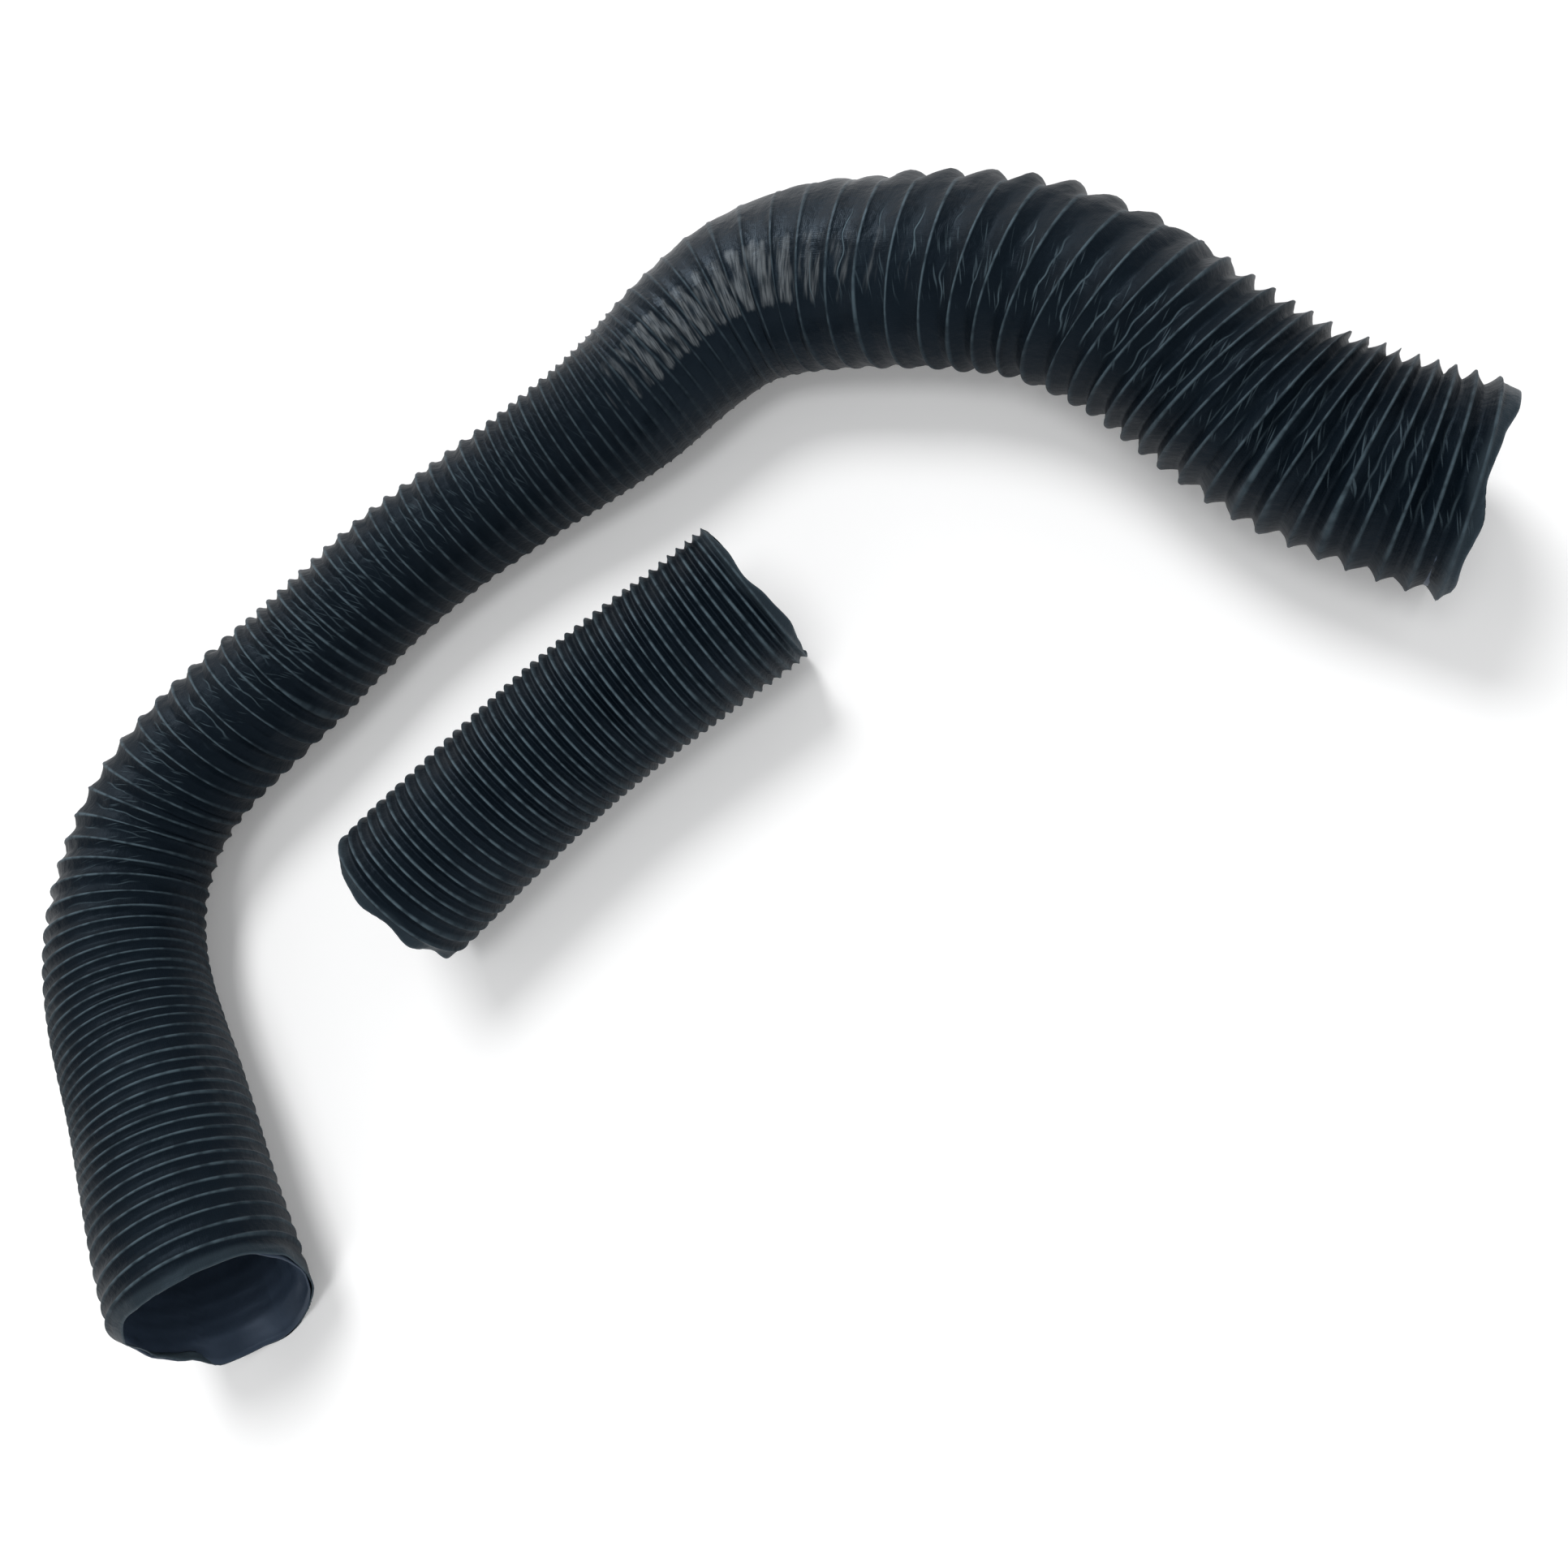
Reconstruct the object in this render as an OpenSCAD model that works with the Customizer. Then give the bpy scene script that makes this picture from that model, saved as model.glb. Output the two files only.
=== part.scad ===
// Wire-reinforced duct hose: one long length laid in two bends, and one short length beside it.
// Each length is three layers, as the real hose is wound: a smooth inner ply, a spring wire laid
// over it in a helix, and an outer ply that the wire pushes up into ribs. A length is cut here
// into straight legs and, between them, the stretches that bend or draw out as the hose moves.
// Millimetres, +Z up. The origin is on the floor, in the middle of the part's bounding box.

/* [Hose] */
// Bore of the hose, across the inner ply
bore_d = 63.5; // [50:0.5:80]
// How far the rib crests stand out from the bore
crest_rise = 5.25; // [4.75:0.25:8]
// Thickness of the inner ply
ply_t = 0.6; // [0.4:0.1:1]
// Diameter of the spring wire
wire_d = 1.4; // [1:0.1:1.6]
// Depth of the valleys where the ribs are drawn far apart
valley_depth = 3.6; // [2:0.1:3.8]
// Plain fabric left between each cut edge and the first rib
lip_len = 8; // [4:1:16]

/* [Long length] */
// Straight leg at the open near mouth
near_leg_len = 121; // [100:1:135]
// Radius of the first bend, on the hose's axis
bend_1_r = 150; // [130:5:160]
// How far the first bend turns, in degrees
bend_1_turn = 93.4; // [84:0.2:96]
// Straight leg between the two bends
middle_leg_len = 255; // [230:1:320]
// Radius of the second bend, on the hose's axis
bend_2_r = 165; // [130:5:180]
// How far the second bend turns, in degrees
bend_2_turn = 77.6; // [70:0.2:86]
// Straight leg at the far mouth
far_leg_len = 186; // [160:1:200]

/* [Short length] */
// Length of the short hose, cut edge to cut edge
short_len = 220; // [200:5:260]
// Share of the short hose, in its middle, that draws out like a concertina
draw_share = 0.32; // [0.28:0.01:0.36]

/* [Output] */
// Which node to draw

/* [Hidden] */

// Colours: near-black coated cloth, a darker inside, bright spring steel
cover_colour = [0.14, 0.17, 0.19];
liner_colour = [0.09, 0.11, 0.14];
wire_colour = [0.62, 0.63, 0.65];

// Middle of the long hose's middle leg, and its heading from +X in degrees. The rest of the long
// hose is laid from here, both ways.
middle_at = [-3.9, 147.4];
middle_heading = -4.8;
// Middle of the short hose, which runs along +X
short_middle = [-25, -7];

// Rib lay: runs of [ribs, pitch in mm], along each part of a length. A run keeps its share of the
// part when the part's own length changes.
near_lay = [[4, 8.2], [5, 7.2], [6, 6.4]];
bend_1_lay = [[7, 5.8], [7, 5.7], [5, 7.7], [4, 9.8], [6, 10.6]];
middle_lay = [[5, 9.6], [5, 8.3], [5, 9.5], [4, 10.3], [6, 7.8], [6, 6.2]];
bend_2_lay = [[5, 7.2], [5, 8.8], [3, 12.6], [7, 15.8]];
far_lay = [[2, 15], [13, 11.2]];
short_near_lay = [[5, 5.6], [7, 5.2]];
short_draw_lay = [[14, 5.0]];
short_far_lay = [[14, 4.8]];

// A rib's mesh: two rings, one on the crest and one in the valley, of eight sides
sides = 8;
side_angle = 360 / sides;
rings_per_rib = 2;
// Ribs start this part of a turn past each cut, so that no corner of a rib lies in the cut itself
first_turn = 0.5 / sides;

// An eight-sided ring has the area of the round one that it stands for
round_to_corner = sqrt(2 * PI / (sides * sin(side_angle)));
corner_to_flat = cos(side_angle / 2);
bore_r = bore_d / 2;
crest_d = bore_d + 2 * crest_rise;
crest_r = crest_d / 2 * round_to_corner;
liner_r = bore_r + ply_t;
// Glue line between the inner ply and what is wound over it
glue_gap = 0.1;
cover_bore_r = liner_r + glue_gap;
// Least cloth left between a valley and the cover's bore
valley_wall = 0.25;
deepest_valley = crest_r - (cover_bore_r + valley_wall) / corner_to_flat;
// A close rib is as deep as this share of its pitch, up to valley_depth
depth_per_pitch = 0.45;
// How far the cut edge's plain cloth stands inside the crests
lip_drop = 2.2;

// The hose rests on its crests, each pressed flat this deep
floor_flat = 0.5;
axis_z = crest_r * corner_to_flat - floor_flat;

// Parts of a length that move apart stand this far from each other
cut_gap = 0.1;

// Wire: three corners with the area of the round wire, the top one toward the crest
wire_side = wire_d * sqrt(PI / sqrt(3));
wire_top = wire_side / sqrt(3);
wire_foot = wire_top / 2;
wire_skin = 0.8;
wire_r = crest_r - wire_top - wire_skin;
// The wire stops this many corners of its helix short of each cut
wire_stop = 3;

// Room that a cutting shape takes past what it cuts
over = 1;
floor_reach = 2 * (middle_leg_len + bend_1_r + bend_2_r + crest_d);

// ---- Route -------------------------------------------------------------------------------

// Sum of the first n numbers of a list
function sum_to(list, n) = n <= 0 ? 0 : list[n - 1] + sum_to(list, n - 1);

// The point at a distance along a heading
function ahead(point, angle, distance) = point + distance * [cos(angle), sin(angle)];

// A stretch is [start, heading, length, turn, lip at its start, lip at its end, rib lay]
function stretch(start, angle, length, turn, lips, lay) = [start, angle, length, turn, lips[0], lips[1], lay];

// Length of a bend's axis
function arc(radius, turn) = radius * turn * PI / 180;

// Both bends turn right, so their centres lie to the right of the hose
near_heading = middle_heading + bend_1_turn;
far_heading = middle_heading - bend_2_turn;
middle_start = ahead(middle_at, middle_heading, -middle_leg_len / 2);
middle_end = ahead(middle_at, middle_heading, middle_leg_len / 2);
bend_1_start = ahead(ahead(middle_start, middle_heading - 90, bend_1_r), near_heading + 90, bend_1_r);
bend_2_end = ahead(ahead(middle_end, middle_heading - 90, bend_2_r), far_heading + 90, bend_2_r);

near_leg = stretch(
    ahead(bend_1_start, near_heading, -near_leg_len), near_heading, near_leg_len, 0,
    [lip_len, 0], near_lay
);
bend_1 = stretch(
    bend_1_start, near_heading, arc(bend_1_r, bend_1_turn), -bend_1_turn, [0, 0], bend_1_lay
);
middle_leg = stretch(middle_start, middle_heading, middle_leg_len, 0, [0, 0], middle_lay);
bend_2 = stretch(
    middle_end, middle_heading, arc(bend_2_r, bend_2_turn), -bend_2_turn, [0, 0], bend_2_lay
);
far_leg = stretch(bend_2_end, far_heading, far_leg_len, 0, [0, lip_len], far_lay);

draw_len = short_len * draw_share;
short_leg = (short_len - draw_len) / 2;
short_start = ahead(short_middle, 0, -short_len / 2);
short_near = stretch(short_start, 0, short_leg, 0, [lip_len, 0], short_near_lay);
short_draw = stretch(ahead(short_start, 0, short_leg), 0, draw_len, 0, [0, 0], short_draw_lay);
short_far = stretch(
    ahead(short_start, 0, short_leg + draw_len), 0, short_leg, 0, [0, lip_len], short_far_lay
);

stretches = [near_leg, bend_1, middle_leg, bend_2, far_leg, short_near, short_draw, short_far];

echo(long_hose_mm = sum_to([near_leg[2], bend_1[2], middle_leg[2], bend_2[2], far_leg[2]], 5));
echo(short_hose_mm = short_len);

// Radius of a bent stretch, and the centre that it turns about
function bend_r(part) = part[2] * 180 / (PI * abs(part[3]));
function bend_centre(part) = ahead(part[0], part[1] + 90 * sign(part[3]), bend_r(part));

// The axis at a distance u along a stretch: [x, y, heading]
function axis_at(part, u) =
    part[3] == 0
        ? let (p = ahead(part[0], part[1], u)) [p.x, p.y, part[1]]
        : let (
              angle = part[1] + part[3] * u / part[2],
              p = ahead(bend_centre(part), angle - 90 * sign(part[3]), bend_r(part))
          ) [p.x, p.y, angle];

// A point at a radius and an angle round the axis
function skin_point(part, u, angle, radius) =
    let (p = axis_at(part, u), out = radius * cos(angle))
    [p.x - out * sin(p[2]), p.y + out * cos(p[2]), axis_z + radius * sin(angle)];

// ---- Ribs --------------------------------------------------------------------------------

// Ribs on a stretch, and the length that its ribs take
function rib_count(part) = sum_to([for (run = part[6]) run[0]], len(part[6]));
function ribbed_len(part) = part[2] - part[4] - part[5];

// Table of [turns from the first cut, distance along the stretch]
function lay_table(part) =
    let (
        lay = part[6],
        runs = [for (run = lay) run[0] * run[1]],
        fit = ribbed_len(part) / sum_to(runs, len(lay))
    )
    [for (i = [0:len(lay)]) [sum_to([for (run = lay) run[0]], i), part[4] + fit * sum_to(runs, i)]];

// Pitch and valley depth near a turn
function pitch_at(table, count, turn) =
    let (middle = max(0.5, min(count - 0.5, turn)))
    lookup(middle + 0.5, table) - lookup(middle - 0.5, table);
function depth_at(table, count, turn) =
    min(valley_depth, deepest_valley, depth_per_pitch * pitch_at(table, count, turn));

// Turn of ring k on a side: the rings run round the hose as a helix, so they shift side by side
function ring_turn(k, side) = k / rings_per_rib + side / sides - first_turn;
function first_ring(side) = ceil(rings_per_rib * (first_turn - side / sides));
function last_ring(count, side) = floor(rings_per_rib * (count + first_turn - side / sides));
function ring_radius(table, count, k, side) =
    crest_r - (k % rings_per_rib == 0 ? 0 : depth_at(table, count, ring_turn(k, side)));

// Radius where a cut crosses a side, between the rings before and after it
function cut_radius(table, count, turn, side) =
    let (place = rings_per_rib * (turn + first_turn - side / sides), k = floor(place), part = place - k)
    ring_radius(table, count, k, side) * (1 - part) + ring_radius(table, count, k + 1, side) * part;

// One side's corners, from the first cut to the last
function side_points(part, table, count, side, gap) =
    let (
        angle = side_angle * (side + 0.5),
        first_r = part[4] > 0 ? crest_r - lip_drop : cut_radius(table, count, 0, side),
        last_r = part[5] > 0 ? crest_r - lip_drop : cut_radius(table, count, count, side)
    )
    [
        skin_point(part, part[4] > 0 ? 0 : gap, angle, first_r),
        for (k = [first_ring(side):last_ring(count, side)])
            skin_point(
                part, lookup(ring_turn(k, side), table), angle, ring_radius(table, count, k, side)
            ),
        skin_point(part, part[2] - (part[5] > 0 ? 0 : gap), angle, last_r)
    ];

// Triangles that fan out from one corner
function fan(hub, rim) = [for (i = [0:len(rim) - 2]) [hub, rim[i], rim[i + 1]]];

// Triangles between a side and the next one. The eighth side meets the first a whole rib on.
function strip(starts, count, side) =
    let (
        next = (side + 1) % sides,
        left = starts[side] + 1 - first_ring(side),
        right = starts[next] + 1 - first_ring(side + 1),
        first = first_ring(side),
        last = last_ring(count, side + 1),
        left_end = starts[side + 1] - 1,
        right_end = starts[next + 1] - 1
    )
    [
        each fan(starts[side], [
            left + first, for (k = [first:-1:first_ring(side + 1)]) right + k, starts[next]
        ]),
        for (k = [first:last - 1]) each fan(left + k, [left + k + 1, right + k + 1, right + k]),
        each fan(right_end, [
            right + last, for (k = [last:last_ring(count, side)]) left + k, left_end
        ])
    ];

// The outside of a stretch as one closed solid, before its bore is cut
module ribbed_solid(part) {
    table = lay_table(part);
    count = rib_count(part);
    columns = [for (side = [0:sides - 1]) side_points(part, table, count, side, cut_gap / 2)];
    sizes = [for (column = columns) len(column)];
    starts = [for (side = [0:sides]) sum_to(sizes, side)];
    polyhedron(
        points = [for (column = columns) each column],
        faces = [
            each fan(0, [for (side = [1:sides - 1]) starts[side]]),
            for (side = [0:sides - 1]) each strip(starts, count, side),
            each fan(starts[1] - 1, [for (side = [sides - 1:-1:1]) starts[side + 1] - 1])
        ]
    );
}

// ---- Layers ------------------------------------------------------------------------------

// A round rod along a stretch: straight, or part of a ring
module rod(part, radius, gap) {
    if (part[3] == 0) {
        translate([part[0].x, part[0].y, axis_z])
            rotate([0, 90, part[1]])
                translate([0, 0, gap])
                    cylinder(r = radius, h = part[2] - 2 * gap, $fn = 96);
    } else {
        centre = bend_centre(part);
        gap_angle = gap / bend_r(part) * 180 / PI;
        first = part[1] - 90 * sign(part[3]);
        low = part[3] > 0 ? first : first + part[3];
        translate([centre.x, centre.y, axis_z])
            rotate([0, 0, low + gap_angle])
                rotate_extrude(angle = abs(part[3]) - 2 * gap_angle, $fn = 180)
                    translate([bend_r(part), 0])
                        circle(r = radius, $fn = 96);
    }
}

// Everything below the floor
module below_floor() {
    translate([-floor_reach / 2, -floor_reach / 2, -2 * crest_r])
        cube([floor_reach, floor_reach, 2 * crest_r]);
}

// Outer ply, ribbed by the wire under it
module cover(part) {
    color(cover_colour)
        difference() {
            ribbed_solid(part);
            rod(part, cover_bore_r, -over);
            below_floor();
        }
}

// Inner ply, smooth: it is the hose's bore
module liner(part) {
    color(liner_colour)
        difference() {
            rod(part, liner_r, cut_gap / 2);
            rod(part, bore_r, -over);
        }
}

// The wire's corners, section by section, along its helix under the crests
function wire_points(part) =
    let (
        table = lay_table(part),
        corners = [[wire_top, 0], [-wire_foot, wire_side / 2], [-wire_foot, -wire_side / 2]]
    )
    [
        for (step = [wire_stop:sides * rib_count(part) - wire_stop], corner = corners)
            skin_point(
                part, lookup(step / sides - first_turn, table) + corner[1],
                side_angle / 2 + side_angle * step, wire_r + corner[0]
            )
    ];

// Least gap between one turn of a wire and the next, between their nearest corners
function turn_gap(points) =
    min([
        for (i = [0:len(points) / 3 - sides - 1], a = [0:2], b = [0:2])
            norm(points[3 * i + a] - points[3 * (i + sides) + b])
    ]);

echo(least_wire_gap_mm = min([for (part = stretches) turn_gap(wire_points(part))]));

// Spring wire: one unbroken helix under the crests, bonded between the plies
module wire(part) {
    points = wire_points(part);
    last = len(points) - 3;
    color(wire_colour)
        polyhedron(
            points = points,
            faces = [
                [0, 2, 1],
                for (ring = [0:3:last - 3], i = [0:2]) each let (
                    a = ring + i,
                    b = ring + (i + 1) % 3
                ) [[a, b + 3, a + 3], [a, b, b + 3]],
                [last, last + 1, last + 2]
            ]
        );
}

cover(near_leg);  // long_near_cover
wire(near_leg);  // long_near_wire
liner(near_leg);  // long_near_liner
cover(bend_1);  // long_bend_1_cover
wire(bend_1);  // long_bend_1_wire
liner(bend_1);  // long_bend_1_liner
cover(middle_leg);  // long_middle_cover
wire(middle_leg);  // long_middle_wire
liner(middle_leg);  // long_middle_liner
cover(bend_2);  // long_bend_2_cover
wire(bend_2);  // long_bend_2_wire
liner(bend_2);  // long_bend_2_liner
cover(far_leg);  // long_far_cover
wire(far_leg);  // long_far_wire
liner(far_leg);  // long_far_liner
cover(short_near);  // short_near_cover
wire(short_near);  // short_near_wire
liner(short_near);  // short_near_liner
cover(short_draw);  // short_draw_cover
wire(short_draw);  // short_draw_wire
liner(short_draw);  // short_draw_liner
cover(short_far);  // short_far_cover
wire(short_far);  // short_far_wire
liner(short_far);  // short_far_liner
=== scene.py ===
"""Wire-reinforced duct hose: one long length laid in two bends and one short length beside it.

Each length is three pieces, as the real hose is wound: an outer ply of coated cloth, a spring wire
under its ribs and a smooth inner ply. Lengths are in millimetres, and are turned into metres where
a mesh is made. Angles round a hose start on its left, looking along it, and rise over its top.
"""

import logging
import math
from abc import ABC, abstractmethod
from collections.abc import Callable
from dataclasses import dataclass, field
from enum import Enum
from functools import partial

import bmesh
import bpy
import numpy as np
from mathutils import Matrix, Vector


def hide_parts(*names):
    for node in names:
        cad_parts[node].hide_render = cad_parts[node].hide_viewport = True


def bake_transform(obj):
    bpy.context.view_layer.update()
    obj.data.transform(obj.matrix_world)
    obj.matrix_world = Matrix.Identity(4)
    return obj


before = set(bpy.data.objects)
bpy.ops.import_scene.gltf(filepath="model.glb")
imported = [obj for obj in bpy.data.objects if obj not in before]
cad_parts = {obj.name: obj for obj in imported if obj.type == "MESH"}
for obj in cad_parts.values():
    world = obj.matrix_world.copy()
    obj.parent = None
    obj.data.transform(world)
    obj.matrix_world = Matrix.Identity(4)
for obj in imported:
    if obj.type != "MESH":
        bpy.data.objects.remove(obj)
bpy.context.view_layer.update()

log = logging.getLogger("duct_hose")
MM = 0.001
# A ply's mesh closes along its underside, this many degrees from its left side
SEAM = -90.0
SMOOTH = {"interpolation_type": "SMOOTHSTEP"}
TIMES = {"operation": "MULTIPLY"}

Array = np.ndarray
Point = tuple[float, float]
Spot = tuple[float, float, float]
Number = float | Array
Source = bpy.types.Node | bpy.types.NodeSocket
Adder = Callable[..., bpy.types.Node]


# ---- Small helpers ------------------------------------------------------------------------------


def linear(hex_colour: str) -> tuple[float, float, float, float]:
    """Turns an sRGB hex colour into linear light.

    Args:
        hex_colour: Six hex digits, such as "1a2026".

    Returns:
        Red, green, blue and alpha, from 0 to 1.
    """
    parts = [int(hex_colour[i : i + 2], 16) / 255 for i in (0, 2, 4)]
    r, g, b = (p / 12.92 if p <= 0.04045 else ((p + 0.055) / 1.055) ** 2.4 for p in parts)
    return r, g, b, 1.0


def smooth(value: Number, start: float = 0.0, end: float = 1.0) -> Number:
    """Rises smoothly from 0 at start to 1 at end.

    Args:
        value: Number or array to read.
        start: Where the rise begins.
        end: Where it has ended.

    Returns:
        The rise at value, from 0 to 1.
    """
    t = np.clip((value - start) / (end - start), 0, 1)
    return t * t * (3 - 2 * t)


def add_node(
    tree: bpy.types.NodeTree,
    kind: str,
    settings: dict[str | int, object] | None = None,
    links: dict[str | int, Source] | None = None,
) -> bpy.types.Node:
    """Adds a shader node with its settings and links.

    Args:
        tree: Node tree to add to.
        kind: Blender's name for the node's type, without ShaderNode before it.
        settings: Values by the name of a property, or by the name or number of an input.
        links: Outputs, or nodes for their first output, by the name or number of an input.

    Returns:
        The new node.
    """
    made = tree.nodes.new(f"ShaderNode{kind}")
    for key, value in (settings or {}).items():
        if hasattr(made, str(key)):
            setattr(made, str(key), value)
        else:
            made.inputs[key].default_value = value
    for key, source in (links or {}).items():
        output = source.outputs[0] if isinstance(source, bpy.types.Node) else source
        tree.links.new(output, made.inputs[key])
    return made


# ---- Route --------------------------------------------------------------------------------------


@dataclass(frozen=True)
class Stretch:
    """A straight leg or an even bend of a hose.

    Attributes:
        length: Length along the axis, mm.
        turn: How far it turns left, degrees.
        runs: Rib lay, as (ribs, pitch in mm), which is stretched to fill the ribbed length.
        lips: Plain cloth at its start and at its end, mm.
    """

    length: float
    turn: float
    runs: tuple[tuple[int, float], ...]
    lips: Point = (0.0, 0.0)

    def pitches(self) -> list[float]:
        """Lays its ribs.

        Returns:
            The pitch of each, mm.
        """
        laid = [pitch for ribs, pitch in self.runs for _ in range(ribs)]
        fit = (self.length - sum(self.lips)) / sum(laid)
        return [pitch * fit for pitch in laid]


@dataclass(frozen=True)
class Lateral:
    """A quantity that changes along a hose.

    Attributes:
        at: Distances along the hose, mm.
        values: Its value at each of them.
    """

    at: tuple[float, ...]
    values: tuple[float, ...]

    def __call__(self, s: Number) -> Number:
        """Returns the value at distance s, rounded off between the given places."""
        spread = 12.0
        return sum(np.interp(s + k * spread, self.at, self.values) for k in (-1, 0, 1)) / 3


@dataclass
class Route:
    """The axis of a hose on the floor.

    Attributes:
        start: Where the axis starts, mm.
        heading: Its first heading from +X, degrees.
        stretches: The legs and bends that follow each other.
        wander: How far the real hose strays to the left of that line, mm.
        seed: Seed for the unevenness of the ribs.
        length: Length along the axis, mm.
        ribs: How many ribs it has.
    """

    start: Point
    heading: float
    stretches: tuple[Stretch, ...]
    wander: Lateral
    seed: int
    length: float = field(init=False)
    ribs: int = field(init=False)

    def __post_init__(self) -> None:
        """Walks the route once and keeps its points and the place of each rib."""
        self.length = sum(part.length for part in self.stretches)
        step, overrun = 1.0, 40.0
        self._s = np.arange(-overrun, self.length + overrun + step, step)
        ends = np.cumsum([0.0] + [part.length for part in self.stretches])
        turned = np.cumsum([0.0] + [part.turn for part in self.stretches])
        heading = np.radians(self.heading + np.interp(self._s, ends, turned))
        middle = (heading[1:] + heading[:-1]) / 2
        x, y = (
            np.concatenate([[0.0], np.cumsum(way(middle)) * step]) for way in (np.cos, np.sin)
        )
        x += self.start[0] - np.interp(0.0, self._s, x)
        y += self.start[1] - np.interp(0.0, self._s, y)
        stray = self.wander(self._s)
        self._x = x - stray * np.sin(heading)
        self._y = y + stray * np.cos(heading)
        self._heading = np.unwrap(np.arctan2(np.gradient(self._y), np.gradient(self._x)))
        self._set_ribs()

    def _set_ribs(self) -> None:
        """Works out where each rib's crest lies along the axis."""
        spare, jitter = 8, 0.05
        pitches = np.array([p for part in self.stretches for p in part.pitches()])
        self.ribs = len(pitches)
        kernel = np.array([1.0, 2.0, 3.0, 2.0, 1.0])
        padded = np.pad(pitches, len(kernel) // 2, mode="edge")
        evened = np.convolve(padded, kernel / kernel.sum(), mode="valid")
        evened *= 1 + jitter * np.random.default_rng(self.seed).normal(size=self.ribs)
        evened *= pitches.sum() / evened.sum()
        before = -evened[0] * np.arange(spare, 0, -1)
        after = evened.sum() + evened[-1] * np.arange(1, spare + 1)
        crests = np.concatenate([before, [0.0], np.cumsum(evened), after])
        self._turns = np.arange(-spare, self.ribs + spare + 1, dtype=float)
        self._crests = crests + self.stretches[0].lips[0]
        self._pitch = np.gradient(self._crests)

    def along(self, turns: Number) -> Number:
        """Returns the distance along the axis of a place given in turns of the wire."""
        return np.interp(turns, self._turns, self._crests)

    def turns(self, s: Number) -> Number:
        """Returns the place in turns of the wire at a distance along the axis."""
        return np.interp(s, self._crests, self._turns)

    def pitch(self, turns: Number) -> Number:
        """Returns the ribs' pitch near a place given in turns, mm."""
        return np.interp(turns, self._turns, self._pitch)

    def axis(self, s: Number) -> tuple[Array, Array, Array]:
        """Reads the axis.

        Args:
            s: Distances along it, mm.

        Returns:
            Its x and y in mm, and its heading in radians.
        """
        x, y, heading = (
            np.interp(s, self._s, line) for line in (self._x, self._y, self._heading)
        )
        return x, y, heading


# ---- Uneven cloth -------------------------------------------------------------------------------


@dataclass
class Unevenness:
    """Seeded, smooth random patterns for cloth.

    Attributes:
        seed: Seed of the patterns.
        cells: Rows and columns of the table of random heights.
    """

    seed: int
    cells: int = 256

    def __post_init__(self) -> None:
        """Draws the table of random heights."""
        rng = np.random.default_rng(self.seed)
        self._table = rng.uniform(-1, 1, size=(self.cells, self.cells))

    def line(self, row: Array, angle: Array, knots: int) -> Array:
        """Reads one closed random line round the hose for each rib.

        Args:
            row: Whole number that picks the line, such as the rib's.
            angle: Angles round the hose, degrees.
            knots: Random heights round the hose.

        Returns:
            Heights from -1 to 1.
        """
        place = np.mod(angle / 360, 1) * knots
        first = np.floor(place).astype(int)
        t = smooth(place - first)
        # Neighbouring ribs read rows that lie apart in the table
        own = (row.astype(int) * 7 + 31) % self.cells
        return self._table[own, first % knots] * (1 - t) + self._table[own, (first + 1) % knots] * t

    def patch(self, along: Array, angle: Array, knots: int) -> Array:
        """Reads a smooth random pattern over a hose's surface.

        Args:
            along: Place along the hose, in cells of the pattern.
            angle: Angles round the hose, degrees.
            knots: Cells round the hose.

        Returns:
            Heights from -1 to 1.
        """
        across = np.mod(angle / 360, 1) * knots
        i, j = np.floor(along).astype(int), np.floor(across).astype(int)
        a, b = smooth(along - i), smooth(across - j)
        near, far = (
            self._table[row, j % knots] * (1 - b) + self._table[row, (j + 1) % knots] * b
            for row in (i % self.cells, (i + 1) % self.cells)
        )
        return near * (1 - a) + far * a


# ---- Section and ribs ---------------------------------------------------------------------------


@dataclass(frozen=True)
class HoseSize:
    """Sizes that both lengths share, mm.

    Attributes:
        crest_r: Radius over the rib crests.
        floor_flat: How deep the crests are pressed flat where the hose lies on the floor.
        ply: Thickness of a ply at its folded or cut edge.
        bore_rise: From the crests in to the inner ply's outer face.
        wire_r: Radius of the spring wire.
        wire_rise: From the crests in to the middle of the wire.
        sink: How deep the cloth can lie between the turns.
        billow: How far it can stand out between them.
        fold_round: How far from a crest the cloth bends over the wire.
        ridge: Height and half width of the ridge right over the wire.
        turned_in: How far the cloth turns back inside a cut edge.
    """

    crest_r: float = 37.0
    floor_flat: float = 1.5
    ply: float = 0.7
    bore_rise: float = -4.7
    wire_r: float = 0.7
    wire_rise: float = -2.4
    sink: float = 4.6
    billow: float = 8.0
    fold_round: float = 0.45
    ridge: Point = (0.5, 0.6)
    turned_in: float = 3.5


@dataclass(frozen=True)
class RibShape:
    """How deep the cloth lies between the wire's turns, all along a hose.

    A positive depth sinks inward between the turns, and a negative one billows outward.

    Attributes:
        left: Depth on the hose's left side, mm.
        top: Depth along its top.
        right: Depth on its right side.
        under: Depth along its underside.
        crease: Height of the second crease between two turns, mm; the crease also carries a painted
            highlight.
        crumple: Height of the fine crumpling, mm; slack, crumpled cloth also carries painted
            highlights.
        taut: Where the cloth is stretched smooth and shiny, and where it carries painted gloss, 0
            to 1.
        rub: How strongly the crests are paled, partly as rubbing wear and partly as a painted
            highlight, 0 to 1.
        width: Width of the section, as a share of the round one.
        height: Height of the section, likewise.
        lean: How far the wire's turns lean forward at the top, degrees.
        skew: How far their right side lies ahead of their left, degrees.
    """

    left: Lateral
    top: Lateral
    right: Lateral
    under: Lateral
    crease: Lateral
    crumple: Lateral
    taut: Lateral
    rub: Lateral
    width: Lateral
    height: Lateral
    lean: Lateral
    skew: Lateral


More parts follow.
